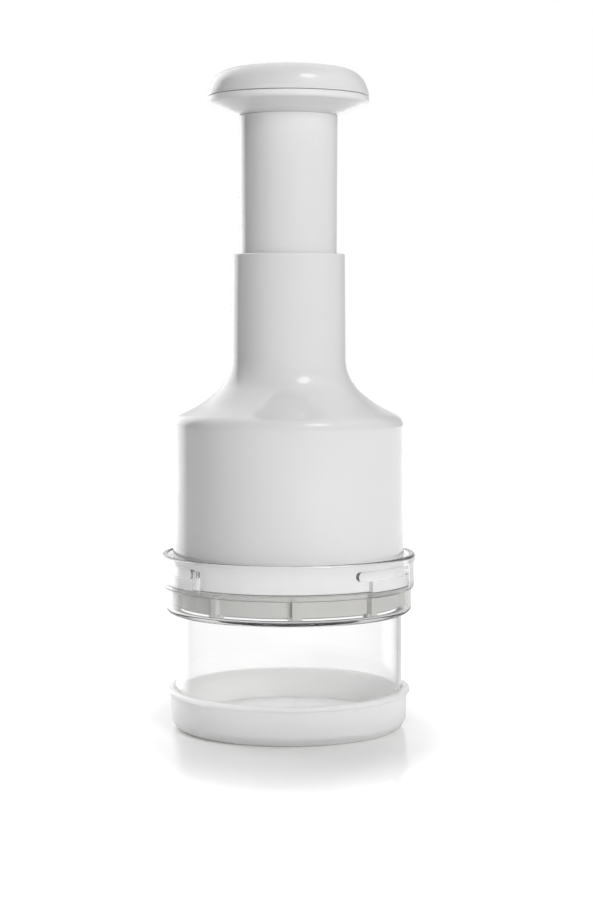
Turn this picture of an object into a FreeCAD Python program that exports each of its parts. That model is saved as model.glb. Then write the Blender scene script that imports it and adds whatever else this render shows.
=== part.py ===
import FreeCAD, Part
import math
import os

# Plunger food chopper: a knob on a sliding shaft drives a zigzag blade down through a clear cup.
# Millimetres. The origin is the centre of the underside of the base cap, +Z is up,
# and -Y is the side that faces a user who looks at the bayonet stop left of the middle.

Vector = FreeCAD.Vector
up = Vector(0, 0, 1)
centre = Vector(0, 0, 0)

# Fits and gaps
running_gap = 0.08          # a shaft in its bush, on the radius
helix_gap = 0.12            # spindle and drive nut, on each side
sliding_gap = 0.25          # plunger and neck, stem and wiper, on each side
seat_gap = 0.3              # between curved or loose pieces that rest on each other
touch_gap = 0.1             # between pieces that a screw or a spring holds together
press_gap = 0.05            # parts pushed together and left there
root = 0.4                  # how far a feature runs into the wall that carries it
edge_break = 0.4            # small bevels
fine_break = 0.2            # bevels on thin walls

# Base cap, a shallow flexible dish under the cup
cap_height = 15.3
cap_floor = 2.2
cap_wall = 1.6
cap_draft = 0.5
cap_corner = 4.6
cap_rim_overhang = 1.1
cap_rim_height = 2.2
cap_rim_slope = 0.5
board_height = 2.2          # raised chopping board inside the cup
board_margin = 2.1
board_edge = 0.8
foot_recess = 1.6
foot_width = 3.4
gate_mark_round = 2.6
gate_mark_depth = 0.4
gate_mark_margin = 2.2      # from the board's rear edge
gate_mark_side = 4.2        # right of the middle

# Clear cup
cup_radius = 42.75          # outside, at the foot
cup_draft = 0.1
cup_wall = 1.8
cup_shelf_height = 43.8     # underside of the shelf, which sets the stroke and all that stands above
cup_shelf = 1.8
ledge_round = 0.8
lower_ring_step = 3.75      # how far the lower ring stands out from the cup
lower_ring_wall = 1.9
lower_ring_height = 9.4
lower_ring_round = 2.4
upper_ring_step = 1.0       # how far the upper ring stands out from the lower one
upper_ring_wall = 1.75
upper_ring_height = 12.9
lip_step = 0.35
lip_height = 2.5

# Bayonet between housing and cup
bayonet_count = 3
bayonet_angle = 52.0        # first lug, measured from the front towards +X
lug_arc = 38.0
lug_height = 3.4
lug_below_lip = 3.3
lug_gap = 0.4               # between lug and housing
stop_arc = 2.4
stop_gap_arc = 0.8
stop_drop = 0.6             # how far the stop ends below the lug's top
tab_arc = 30.0
tab_gap_arc = 0.5

# Wiper, the disc that the blade draws back into
wiper_wall = 1.8
wiper_ring_gap = 2.6        # between the wiper and the lower ring, bridged by its ribs
wiper_lift = 0.9            # foot of its ring above the ledge
wiper_web = 1.8
wiper_web_lift = 1.1
scraper_wall = 1.1
scraper_height = 2.6
slot_gap = 0.5
wiper_rib_count = 9
wiper_rib_width = 2.0
wiper_rib_drop = 1.2
wiper_rib_angle = 3.0
wiper_pad_width = 5.0
wiper_pad_height = 1.2

# Blade and stem
blade_thickness = 0.8
blade_edge = 0.25
blade_height = 11.0
blade_bevel = 2.0
blade_below_web = 0.6       # the edge at rest, below the underside of the wiper's web
blade_margin = 3.7          # between the blade's ends and the cup
blade_end_reach = 4.0       # how far the ends stand off the middle line
blade_fold_margin = 5.7     # between the folds and the cup
blade_folds = 2             # on each side of the stem
blade_bend = 1.5
stem_wall = 2.5
stem_corner = 1.2
stem_lift = 1.6             # foot of the stem above the blade's edge
stem_top_margin = 1.0
stem_pin_radius = 1.25
stem_pin_drop = 8.0
rivet_radius = 1.0
rivet_spacing = 6.4
rivet_level = 0.62          # share of the blade's height
rivet_inset = 1.7           # from the stem's sides, so that the rivets pass the wiper

# Spindle and its bearing
spindle_width = 7.0
turn_per_stroke = 60.0      # degrees that the blade turns on the way down
helix_spare = 4.0
helix_lead_in = 2.0
spindle_socket = 8.0        # from the blade's top to the foot of the spindle
journal_shoulder = 0.5
bush_wall = 1.4
bush_flange = 2.6
bush_flange_thickness = 1.4
thrust_washer_thickness = 0.6
spindle_screw_radius = 1.5
spindle_screw_head = 3.6
spindle_screw_length = 9.0

# Drive nut and ratchet
nut_wall = 4.45             # over the corners of the spindle
nut_height = 7.6
nut_cup_wall = 1.7
nut_lip = 1.2
nut_groove_width = 1.6
nut_groove_depth = 1.0
ratchet_teeth = 12
ratchet_tooth_height = 1.1
ratchet_tooth_width = 2.6
tooth_gap = 0.12
tooth_gap_angle = 1.2
ratchet_ring_thickness = 1.6
ratchet_ring_flange = 3.2
nut_spring_thickness = 0.5
nut_spring_rise = 0.8
nut_spring_width = 2.9

# Mechanism plate and guide sleeve
plate_above_stem = 6.2
plate_thickness = 2.6
plate_margin = 5.4          # between the plate and the inside of the bell
plate_rim_height = 3.0
plate_rim_wall = 1.6
plate_window_count = 3
plate_window_arc = 40.0
plate_window_width = 9.0
plate_screw_radius = 1.15
plate_screw_head = 2.9
plate_screw_length = 10.0
screw_hole_gap = 0.5
screw_pilot_radius = 1.2
sleeve_wall = 2.4
guide_key_count = 3
guide_key_width = 5.0
guide_key_depth = 1.0
guide_key_height = 6.0
guide_key_angle = 30.0
rib_count = 6
rib_thickness = 1.4
boss_count = 3
boss_margin = 10.4          # between the middle of a boss and the inside of the bell
boss_radius = 3.6

# Return spring and its seats
spring_wire = 1.5
spring_tube_gap = 1.45
spring_turns = 11
spring_closed_gap = 0.5     # between the closed turns at each end
spring_seat_thickness = 0.8
spring_seat_margin = 0.4

# Plunger
plunger_radius_top = 18.38
plunger_draft = 0.38
plunger_wall = 1.9
plunger_lift = 1.9          # between plunger and plate at the end of the stroke
web_lift = 40.0             # underside of the web above the plunger's foot
web_thickness = 3.0
web_collar_height = 3.0
web_collar_wall = 2.0
knob_seat_drop = 10.2
knob_seat_thickness = 2.4
knob_boss_radius = 3.0
knob_boss_height = 6.0

# Housing
bell_step = 0.85            # how far the bell stands out from the cup's foot
bell_draft = 0.3
housing_wall = 2.2
bell_above_plate = 15.35    # corner of shoulder and side above the plate's underside
shoulder_round = 5.0
shoulder_slope = 26.45      # degrees, outer stretch of the shoulder
flare_slope = 45.0          # degrees, inner stretch of the shoulder
flare_share = 0.428         # share of the shoulder's width that the inner stretch takes
neck_wall = 2.57
neck_draft = 0.35
neck_height = 45.65
neck_edge = 0.6

# Knob
knob_radius = 30.16
knob_clearance = 8.9        # between knob and neck at the end of the stroke
knob_parting_lift = 6.9     # parting line above the top of the shaft
knob_dome_height = 12.1
knob_crown = 3.0            # how far the brow lies below the crown
knob_crown_radius = 12.0
knob_crown_round = 85.0
knob_brow_inset = 2.56
knob_brow_round = 9.2
knob_side_height = 1.3
knob_side_round = 6.0
knob_skirt_height = 2.2
knob_skirt_inset = 0.1
knob_skirt_round = 1.7
knob_flare_step = 4.02
knob_flare_rise = 1.9
knob_flare_round = 6.0
knob_plug_floor = 2.4
knob_plug_wall = 1.8
knob_wall = 2.3
parting_gap = 0.2
knob_spigot_height = 3.0
knob_screw_count = 3
knob_screw_inset = 7.1      # from the bore of the shaft
knob_screw_radius = 1.15
knob_screw_head = 2.9
knob_screw_length = 9.0

# Levels and radii worked out from the sizes, from the floor up
cap_inner = cup_radius + cup_draft + seat_gap
cap_outer = cap_inner + cap_wall
board_top = cap_floor + board_height
cup_foot = cap_floor + seat_gap
cup_bore = cup_radius - cup_wall
ledge_height = cup_shelf_height + cup_shelf
lower_ring_radius = cup_radius + lower_ring_step
lower_ring_bore = lower_ring_radius - lower_ring_wall
lower_ring_top = cup_shelf_height + lower_ring_height
upper_ring_radius = lower_ring_radius + upper_ring_step
upper_ring_bore = upper_ring_radius - upper_ring_wall
ring_step_height = lower_ring_top + upper_ring_wall
cup_top = lower_ring_top + upper_ring_height
lip_radius = upper_ring_radius + lip_step
lug_top = cup_top - lug_below_lip
lug_foot = lug_top - lug_height
wiper_radius = lower_ring_bore - wiper_ring_gap
wiper_bore = wiper_radius - wiper_wall
wiper_foot = ledge_height + wiper_lift
wiper_web_foot = wiper_foot + wiper_web_lift
wiper_web_top = wiper_web_foot + wiper_web
blade_foot = wiper_web_foot - blade_below_web
blade_top = blade_foot + blade_height
stroke = blade_foot - board_top - seat_gap
stem_width = spindle_width + 2 * stem_wall
stem_foot = blade_foot + stem_lift
stem_top = wiper_web_top + scraper_height + stroke + stem_top_margin
stem_pin_height = stem_top - stem_pin_drop
housing_radius = cup_radius + bell_step
housing_top_radius = housing_radius - bell_draft
housing_bore = housing_radius - housing_wall
housing_foot = ring_step_height + seat_gap
wiper_top = housing_foot - seat_gap
lug_bore = housing_radius + lug_gap
plate_foot = stem_top + plate_above_stem
plate_top = plate_foot + plate_thickness
plate_radius = housing_bore - plate_margin
boss_circle = housing_bore - boss_margin
nut_radius = spindle_width / math.sqrt(2) + nut_wall
ratchet_seat = plate_foot + ratchet_ring_thickness
ratchet_outer = nut_radius - edge_break
ratchet_inner = ratchet_outer - ratchet_tooth_width
ratchet_ring_radius = nut_radius + ratchet_ring_flange
nut_foot = ratchet_seat + ratchet_tooth_height + 2 * tooth_gap
nut_top = nut_foot + nut_height
nut_cup_bore = nut_radius + press_gap
nut_cup_radius = nut_cup_bore + nut_cup_wall
nut_cup_top = nut_top + nut_spring_thickness + nut_spring_rise + 2 * touch_gap + nut_lip
plunger_foot = plate_top + plunger_lift + stroke
plunger_radius_foot = plunger_radius_top - plunger_draft
tube_bore = plunger_radius_foot - plunger_wall
key_top = plunger_foot + guide_key_height
web_foot = plunger_foot + web_lift
web_top = web_foot + web_thickness
collar_top = web_top + web_collar_height
neck_bore = plunger_radius_top + sliding_gap
neck_radius = neck_bore + neck_wall
sleeve_radius = neck_bore + sleeve_wall
sleeve_foot = plunger_foot - stroke
shoulder_side = Vector(housing_top_radius, 0, plate_foot + bell_above_plate)
shoulder_width = housing_top_radius - neck_radius - neck_draft
flare_width = shoulder_width * flare_share
slope_width = shoulder_width - flare_width
slope_rise = slope_width * math.tan(math.radians(shoulder_slope))
flare_rise = flare_width * math.tan(math.radians(flare_slope))
shoulder_flat = shoulder_side + Vector(-slope_width, 0, slope_rise)
shoulder_neck = shoulder_flat + Vector(-flare_width, 0, flare_rise)
neck_top = shoulder_neck.z + neck_height
plunger_top = neck_top + stroke + knob_clearance
knob_seat_height = plunger_top - knob_seat_drop
knob_screw_circle = tube_bore - knob_screw_inset
knob_plug_foot = knob_seat_height + knob_seat_thickness + press_gap
knob_parting = plunger_top + knob_parting_lift
knob_top = knob_parting + knob_dome_height
knob_brow_radius = knob_radius - knob_brow_inset
knob_flare_radius = plunger_radius_top + knob_flare_step
journal_radius = spindle_width / 2 - journal_shoulder
bush_bore = journal_radius + running_gap
bush_radius = bush_bore + bush_wall
bush_foot = web_foot - bush_flange_thickness
journal_foot = bush_foot - thrust_washer_thickness - touch_gap
journal_top = collar_top + edge_break
spindle_foot = blade_top + spindle_socket
helix_foot = plate_foot - helix_lead_in
helix_top = nut_top + stroke + helix_spare
spring_mean_radius = tube_bore - spring_tube_gap - spring_wire / 2
lower_seat_top = plate_top + spring_seat_thickness
upper_seat_foot = web_foot - spring_seat_thickness


def outline(corners):
    """Closed wire in the XZ plane through corners (r, z, rounding); a negative rounding is a chamfer."""
    edges = []
    count = len(corners)
    turns = []
    for index in range(count):
        r, z, rounding = corners[index]
        here = Vector(r, 0, z)
        before = Vector(corners[index - 1][0], 0, corners[index - 1][1])
        after = Vector(corners[(index + 1) % count][0], 0, corners[(index + 1) % count][1])
        if rounding == 0:
            turns.append((here, None, here))
            continue
        back = (before - here).normalize()
        ahead = (after - here).normalize()
        if rounding < 0:
            turns.append((here - back * rounding, None, here - ahead * rounding))
            continue
        half = back.getAngle(ahead) / 2
        reach = rounding / math.tan(half)
        middle_line = (back + ahead).normalize()
        middle = here + middle_line * (rounding / math.sin(half) - rounding)
        turns.append((here + back * reach, middle, here + ahead * reach))
    for index in range(count):
        start, middle, end = turns[index]
        if middle is not None:
            edges.append(Part.Arc(start, middle, end).toShape())
        elif start.distanceToPoint(end) > 1e-6:
            edges.append(Part.LineSegment(start, end).toShape())
        following = turns[(index + 1) % count][0]
        if end.distanceToPoint(following) > 1e-6:
            edges.append(Part.LineSegment(end, following).toShape())
    return Part.Wire(edges)


def turned(corners):
    """Solid of revolution about the tool's axis."""
    return Part.Face(outline(corners)).revolve(centre, up, 360)


def ring(outer, inner, foot, top):
    """Plain ring, or a disc where the inner radius is zero."""
    body = Part.makeCylinder(outer, top - foot, Vector(0, 0, foot))
    if inner <= 0:
        return body
    return body.cut(Part.makeCylinder(inner, top - foot + 2, Vector(0, 0, foot - 1)))


def around(shape, count, first=0.0):
    """Copies of a shape in equal steps about the axis."""
    copies = []
    for index in range(count):
        copy = shape.copy()
        copy.rotate(centre, up, first + index * 360.0 / count)
        copies.append(copy)
    return copies


def joined(body, additions):
    """A body with each addition fused to it."""
    for addition in additions:
        body = body.fuse(addition)
    return body


def drilled(body, tools):
    """A body with each tool cut from it."""
    for tool in tools:
        body = body.cut(tool)
    return body


def sector(inner, outer, foot, top, middle_angle, arc):
    """Piece of a ring, its middle at an angle measured from the front towards +X."""
    profile = outline([(inner, foot, 0), (outer, foot, 0), (outer, top, 0), (inner, top, 0)])
    body = Part.Face(profile).revolve(centre, up, arc)
    body.rotate(centre, up, middle_angle - 90 - arc / 2)
    return body


def box(width, depth, foot, top, x=0.0, y=0.0):
    """Upright box centred on x, y."""
    return Part.makeBox(width, depth, top - foot, Vector(x - width / 2, y - depth / 2, foot))


def spoke(inner, outer, width, foot, top):
    """Upright box from one radius to another, along +X."""
    return box(outer - inner, width, foot, top, (inner + outer) / 2)


def pin(radius, foot, top, r=0.0):
    """Upright cylinder, its middle at a distance from the axis along +X."""
    return Part.makeCylinder(radius, top - foot, Vector(r, 0, foot))


def rounded_column(width, corner, foot, top):
    """Square column with rounded upright edges."""
    body = box(width, width, foot, top)
    upright = [edge for edge in body.Edges if abs(edge.tangentAt(edge.FirstParameter).z) > 0.9]
    return body.makeFillet(corner, upright)


def pan_head_screw(radius, head, length):
    """Pan head screw with a cross slot that hangs down from z = 0, its head above."""
    head_height = head * 0.55
    slot_width = head * 0.24
    tip = radius * 1.6
    body = turned([
        (0, -length, 0),
        (radius * 0.35, -length, 0),
        (radius, tip - length, 0),
        (radius, 0, 0),
        (head, 0, 0),
        (head, head_height, head_height * 0.6),
        (0, head_height, 0),
    ])
    slot = box(head * 1.1, slot_width, head_height * 0.4, head_height + 1)
    return drilled(body, around(slot, 2) + around(slot, 2, 90))


# Base cap

def make_base_cap():
    rim_radius = cap_outer + cap_rim_overhang
    rim_foot = cap_height - cap_rim_height
    board_radius = cup_bore - board_margin
    recess_radius = cap_outer - cap_draft - cap_corner - foot_width
    dish = turned([
        (0, 0, 0),
        (cap_outer - cap_draft, 0, cap_corner),
        (cap_outer, rim_foot, 0),
        (rim_radius, rim_foot + cap_rim_slope, 0.7),
        (rim_radius, cap_height, 0.8),
        (cap_inner, cap_height, -edge_break),
        (cap_inner, cap_floor, 0),
        (board_radius + board_edge, cap_floor, 0),
        (board_radius, board_top, 0),
        (0, board_top, 0),
    ])
    dish = dish.cut(ring(recess_radius, 0, -1, foot_recess))
    gate_mark_level = board_top + gate_mark_round - gate_mark_depth
    gate_mark_middle = Vector(gate_mark_side, board_radius - gate_mark_margin, gate_mark_level)
    return dish.cut(Part.makeSphere(gate_mark_round, gate_mark_middle))


# Clear cup with its two rings and the bayonet lugs

def bayonet_lug():
    lug = sector(lug_bore, upper_ring_bore + root, lug_foot, lug_top, bayonet_angle, lug_arc)
    ends = []
    for edge in lug.Edges:
        first = edge.Vertexes[0].Point
        last = edge.Vertexes[-1].Point
        if abs(math.hypot(first.x, first.y) - math.hypot(last.x, last.y)) > root:
            ends.append(edge)
    return lug.makeFillet(lug_height * 0.46, ends)


def bayonet_stop():
    middle = bayonet_angle + lug_arc / 2 + stop_gap_arc + stop_arc / 2
    foot = ring_step_height - root
    return sector(lug_bore, upper_ring_bore + root, foot, lug_top - stop_drop, middle, stop_arc)


def make_clear_cup():
    shelf_radius = cup_radius + cup_draft
    cup = turned([
        (cup_bore, cup_foot, 0),
        (cup_radius, cup_foot, -edge_break),
        (shelf_radius, cup_shelf_height, 0),
        (lower_ring_radius, cup_shelf_height, lower_ring_round),
        (lower_ring_radius, lower_ring_top, 0),
        (upper_ring_radius, lower_ring_top, 0.7),
        (upper_ring_radius, cup_top - lip_height, 0),
        (lip_radius, cup_top - lip_height, 0),
        (lip_radius, cup_top, 1.0),
        (upper_ring_bore, cup_top, -edge_break),
        (upper_ring_bore, ring_step_height, 0),
        (lower_ring_bore, ring_step_height, -edge_break),
        (lower_ring_bore, ledge_height, ledge_round),
        (shelf_radius - cup_wall, ledge_height, -edge_break),
    ])
    cup = joined(cup, around(bayonet_lug(), bayonet_count))
    cup = joined(cup, around(bayonet_stop(), bayonet_count))
    return cup.removeSplitter()


# Housing: bell, shoulder and neck in one moulding

def shoulder_corners(offset, neck):
    """Corners of the shoulder moved inwards: side, foot of the flare, and where it meets a radius."""
    slope = (shoulder_flat - shoulder_side).normalize()
    flare = (shoulder_neck - shoulder_flat).normalize()
    slope_inwards = Vector(-slope.z, 0, slope.x)
    flare_inwards = Vector(-flare.z, 0, flare.x)
    start = shoulder_side + slope_inwards * offset
    side = start + slope * ((housing_top_radius - offset - start.x) / slope.x)
    between = (slope_inwards + flare_inwards).normalize()
    flat = shoulder_flat + between * (offset / between.dot(slope_inwards))
    top = flat + flare * ((neck - flat.x) / flare.x)
    return side, flat, top


def tangent_round(before, corner, after, reach):
    """Radius of the arc at a corner that touches both sides at a given reach from it."""
    half = (before - corner).getAngle(after - corner) / 2
    return reach * math.tan(half)


def guide_slots(foot, top):
    """Grooves that the plunger's keys slide in, as cutting tools."""
    groove_radius = neck_bore + guide_key_depth + sliding_gap
    slot = spoke(0, groove_radius, guide_key_width + 2 * sliding_gap, foot, top)
    return around(slot, guide_key_count, guide_key_angle)


def make_housing_shell():
    side, flat, neck = shoulder_corners(0, shoulder_neck.x)
    neck_end = Vector(neck_radius, 0, neck_top)
    half_flare = 0.49 * (neck - flat).Length
    flat_round = tangent_round(side, flat, neck, half_flare)
    neck_round = tangent_round(flat, neck, neck_end, half_flare)
    outer = turned([
        (0, housing_foot, 0),
        (housing_radius, housing_foot, 0.3),
        (side.x, side.z, shoulder_round),
        (flat.x, flat.z, flat_round),
        (neck.x, neck.z, neck_round),
        (neck_end.x, neck_end.z, neck_edge),
        (0, neck_top, 0),
    ])
    side, flat, neck = shoulder_corners(housing_wall, neck_bore)
    void = turned([
        (0, housing_foot - 1, 0),
        (housing_bore, housing_foot - 1, 0),
        (side.x, side.z, shoulder_round - housing_wall),
        (flat.x, flat.z, flat_round / 2),
        (neck.x, neck.z, 0),
        (neck_bore, neck_top + 1, 0),
        (0, neck_top + 1, 0),
    ])
    boss = pin(boss_radius, plate_top + touch_gap, shoulder_neck.z, boss_circle).common(outer)
    pilot = pin(screw_pilot_radius, plate_foot, plate_foot + plate_screw_length + 1, boss_circle)
    shell = joined(outer.cut(void), around(boss, boss_count))
    shell = drilled(shell, around(pilot, boss_count))
    shell = drilled(shell, guide_slots(sleeve_foot, key_top + seat_gap))
    tab_middle = bayonet_angle + lug_arc / 2 + stop_gap_arc - tab_gap_arc - tab_arc / 2
    tab_root = housing_radius - housing_wall / 2
    tab_reach = upper_ring_bore - seat_gap
    tab = sector(tab_root, tab_reach, housing_foot, lug_foot - seat_gap, tab_middle, tab_arc)
    return joined(shell, around(tab, bayonet_count)).removeSplitter()


# Guide sleeve, a moulding with six ribs that stands on the mechanism plate under the shoulder

def make_guide_sleeve():
    side, flat, neck = shoulder_corners(housing_wall + touch_gap, neck_bore)
    envelope = turned([
        (0, sleeve_foot - plunger_lift, 0),
        (side.x, sleeve_foot - plunger_lift, 0),
        (side.x, side.z, shoulder_round - housing_wall),
        (flat.x, flat.z, 0),
        (neck.x, neck.z, 0),
        (0, neck.z, 0),
    ])
    rib_reach = plate_radius - plate_rim_wall - seat_gap
    sleeve = pin(sleeve_radius, sleeve_foot, neck.z)
    rib = spoke(sleeve_radius - root, rib_reach, rib_thickness, plate_top + press_gap, neck.z)
    sleeve = joined(sleeve, around(rib, rib_count, 180.0 / rib_count)).common(envelope)
    sleeve = sleeve.cut(pin(neck_bore, sleeve_foot - 1, neck.z + 1))
    return drilled(sleeve, guide_slots(sleeve_foot - 1, neck.z + 1))


# Mechanism plate with its cup for the drive nut

def make_mechanism_plate():
    rim_bore = plate_radius - plate_rim_wall
    lip_bore = nut_cup_bore - nut_cup_wall
    nut_stop = nut_cup_top - nut_lip
    plate = turned([
        (0, plate_foot, 0),
        (plate_radius, plate_foot, -edge_break),
        (plate_radius, plate_foot + plate_rim_height, -fine_break),
        (rim_bore, plate_foot + plate_rim_height, 0),
        (rim_bore, plate_top, 0),
        (nut_cup_radius, plate_top, 0),
        (nut_cup_radius, nut_cup_top, -edge_break),
        (0, nut_cup_top, 0),
    ])
    plate = plate.cut(pin(nut_cup_bore, plate_foot - 1, nut_stop))
    plate = plate.cut(pin(lip_bore, plate_foot - 1, nut_cup_top + 1))
    plate = plate.cut(pin(ratchet_ring_radius + press_gap, plate_foot - 1, ratchet_seat))
    hole_radius = plate_screw_radius + screw_hole_gap
    screw_hole = pin(hole_radius, plate_foot - 1, plate_top + 1, boss_circle)
    boss_seat = pin(boss_radius + seat_gap, plate_top, plate_top + plate_rim_height, boss_circle)
    window_bore = ratchet_ring_radius + plate_window_width
    window_reach = window_bore + plate_window_width
    window = sector(window_bore, window_reach, plate_foot - 1, plate_top + 1, 0, plate_window_arc)
    plate = drilled(plate, around(screw_hole, boss_count))
    plate = drilled(plate, around(boss_seat, boss_count))
    return drilled(plate, around(window, plate_window_count, 90 + 180.0 / plate_window_count))


# Drive nut on its ratchet: it slips when the knob goes down too hard and grips on the way

def twisted_square(width, foot, top, steps):
    """Square bar that turns with the helix of the spindle; level z = helix_foot is square to X."""
    wires = []
    corner = width / 2
    for index in range(steps + 1):
        z = foot + (top - foot) * index / steps
        turn = -turn_per_stroke * (z - helix_foot) / stroke
        points = [(-corner, -corner), (corner, -corner), (corner, corner), (-corner, corner)]
        square = Part.makePolygon([Vector(x, y, z) for x, y in points + points[:1]])
        square.rotate(centre, up, turn)
        wires.append(square)
    return Part.makeLoft(wires, True, False)


def ratchet_teeth_ring(foot, inner, outer, turn=0.0):
    """Saw teeth about the axis, each rising evenly from nothing to its full height."""
    step = 360.0 / ratchet_teeth
    low = foot - 0.5
    wires = []
    for share in (0.0, 0.5, 1.0):
        crest = foot + max(ratchet_tooth_height * share, 0.01)
        corners = [(inner - 1, low, 0), (outer + 1, low, 0), (outer + 1, crest, 0), (inner - 1, crest, 0)]
        section = outline(corners)
        section.rotate(centre, up, turn + step * share)
        wires.append(section)
    tooth = Part.makeLoft(wires, True, True)
    teeth = joined(tooth, around(tooth, ratchet_teeth)[1:])
    return teeth.common(ring(outer, inner, low, foot + ratchet_tooth_height + 1))


def make_drive_nut():
    nut = pin(nut_radius - press_gap, nut_foot, nut_top)
    nut = nut.cut(twisted_square(spindle_width + 2 * helix_gap, nut_foot - 4, nut_top + 4, 6))
    groove_foot = (nut_foot + nut_top - nut_groove_width) / 2
    groove = ring(nut_radius, nut_radius - nut_groove_depth, groove_foot, groove_foot + nut_groove_width)
    tooth_foot = ratchet_seat + tooth_gap
    facing = ring(ratchet_outer, ratchet_inner, tooth_foot, nut_foot + root)
    for turn in (0.0, tooth_gap_angle):
        teeth = ratchet_teeth_ring(tooth_foot, ratchet_inner - root, ratchet_outer + root, turn)
        facing = facing.cut(teeth)
    return nut.cut(groove).fuse(facing)


def make_ratchet_ring():
    body = ring(ratchet_ring_radius, ratchet_inner, plate_foot, ratchet_seat)
    return body.fuse(ratchet_teeth_ring(ratchet_seat, ratchet_inner, ratchet_outer))


def make_nut_spring():
    """Dished disc spring that holds the nut down on its teeth."""
    foot = nut_top + touch_gap
    outer = nut_radius - seat_gap
    inner = outer - nut_spring_width
    return turned([
        (inner, foot + nut_spring_rise, 0),
        (outer, foot, 0),
        (outer, foot + nut_spring_thickness, 0),
        (inner, foot + nut_spring_rise + nut_spring_thickness, 0),
    ])


def make_plate_screws():
    screw = pan_head_screw(plate_screw_radius, plate_screw_head, plate_screw_length)
    screw.rotate(centre, Vector(1, 0, 0), 180)
    screw.translate(Vector(boss_circle, 0, plate_foot))
    return Part.makeCompound(around(screw, boss_count))


# Return spring and the washers at its ends

def make_spring_washer(foot, top):
    outer = spring_mean_radius + spring_wire / 2 + spring_seat_margin
    return ring(outer, nut_cup_radius + seat_gap, foot, top)


def half_turn_biarc(start_angle, start_z, rise):
    """Two tangent arcs that stand for a quarter turn each of the coil."""
    points = []
    for share in (0.0, 0.25, 0.5, 0.75, 1.0):
        angle = start_angle + math.pi * share
        points.append(Vector(
            spring_mean_radius * math.cos(angle),
            spring_mean_radius * math.sin(angle),
            start_z + rise * share,
        ))
    return [Part.Arc(*points[0:3]).toShape(), Part.Arc(*points[2:5]).toShape()]


def make_return_spring():
    foot = lower_seat_top + spring_wire / 2 + touch_gap
    top = upper_seat_foot - spring_wire / 2 - touch_gap
    half_turns = 2 * spring_turns
    closed = 2
    closed_rise = (spring_wire + spring_closed_gap) / 2
    open_rise = (top - foot - 2 * closed * closed_rise) / (half_turns - 2 * closed)
    edges = []
    z = foot
    for index in range(half_turns):
        near_end = index < closed or index >= half_turns - closed
        rise = closed_rise if near_end else open_rise
        edges += half_turn_biarc(math.pi * index, z, rise)
        z += rise
    path = Part.Wire(edges)
    start = edges[0].valueAt(edges[0].FirstParameter)
    direction = edges[0].tangentAt(edges[0].FirstParameter)
    section = Part.Wire([Part.Circle(start, direction, spring_wire / 2).toShape()])
    print("return spring: least gap between turns", round(2 * closed_rise - spring_wire, 2))
    return path.makePipeShell([section], True, False)


# Plunger: sliding tube, spindle bearing and knob

def make_plunger_tube():
    collar_bore = bush_radius + press_gap
    boss_foot = knob_seat_height - knob_boss_height
    tube = turned([
        (tube_bore, plunger_foot, 0),
        (plunger_radius_foot, plunger_foot, -edge_break),
        (plunger_radius_top, plunger_top, -fine_break),
        (tube_bore, plunger_top, -fine_break),
    ])
    web = ring(tube_bore + root, collar_bore, web_foot, web_top)
    collar = ring(collar_bore + web_collar_wall, collar_bore, web_top - root, collar_top)
    seat_top = knob_seat_height + knob_seat_thickness
    knob_seat = ring(tube_bore + root, knob_boss_radius * 2, knob_seat_height, seat_top)
    boss = pin(knob_boss_radius, boss_foot, knob_seat_height + root, knob_screw_circle)
    pilot = pin(screw_pilot_radius, boss_foot - 1, knob_plug_foot, knob_screw_circle)
    key_root = plunger_radius_foot - plunger_wall / 2
    key_reach = plunger_radius_foot + sliding_gap + guide_key_depth
    key = spoke(key_root, key_reach, guide_key_width, plunger_foot, key_top)
    tube = joined(tube, [web, collar, knob_seat] + around(boss, knob_screw_count, guide_key_angle))
    tube = drilled(tube, around(pilot, knob_screw_count, guide_key_angle))
    return joined(tube, around(key, guide_key_count, guide_key_angle)).removeSplitter()


def make_knob_base():
    plug_radius = tube_bore - press_gap
    plug_bore = plug_radius - knob_plug_wall
    shaft_end = plunger_top + press_gap
    spigot = knob_radius - knob_wall - seat_gap / 2
    spigot_bore = spigot - knob_plug_wall
    spigot_top = knob_parting + knob_spigot_height
    base = turned([
        (0, knob_plug_foot, 0),
        (plug_radius, knob_plug_foot, 0.5),
        (plug_radius, shaft_end, 0),
        (plunger_radius_top, shaft_end, 0),
        (knob_flare_radius, plunger_top + knob_flare_rise, knob_flare_round),
        (knob_radius - knob_skirt_inset, knob_parting - knob_skirt_height, knob_skirt_round),
        (knob_radius, knob_parting, -fine_break),
        (spigot, knob_parting, 0),
        (spigot, spigot_top, -edge_break),
        (spigot_bore, spigot_top, -edge_break),
        (spigot_bore, knob_parting - 0.6, 0),
        (knob_flare_radius - 1.0, plunger_top + knob_flare_rise + 2.0, 0),
        (plug_bore, plunger_top + 1.6, 0),
        (plug_bore, knob_plug_foot + knob_plug_floor, 0),
        (0, knob_plug_foot + knob_plug_floor, 0),
    ])
    hole_top = knob_plug_foot + knob_plug_floor + 1
    hole = pin(knob_screw_radius + screw_hole_gap, knob_plug_foot - 1, hole_top, knob_screw_circle)
    return drilled(base, around(hole, knob_screw_count, guide_key_angle))


def make_knob_cap():
    inside = knob_radius - knob_wall
    hollow_brow = knob_brow_radius - knob_wall * 0.7
    dome = turned([
        (0, knob_parting + parting_gap, 0),
        (knob_radius, knob_parting + parting_gap, -fine_break),
        (knob_radius, knob_parting + knob_side_height, knob_side_round),
        (knob_brow_radius, knob_top - knob_crown, knob_brow_round),
        (knob_crown_radius, knob_top, knob_crown_round),
        (0, knob_top, 0),
    ])
    hollow = turned([
        (0, knob_parting, 0),
        (inside, knob_parting, 0),
        (inside, knob_parting + knob_spigot_height + edge_break, 0),
        (hollow_brow, knob_top - knob_crown - knob_wall, knob_brow_round - knob_wall),
        (knob_crown_radius, knob_top - knob_wall, knob_crown_round),
        (0, knob_top - knob_wall, 0),
    ])
    return dome.cut(hollow)


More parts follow.
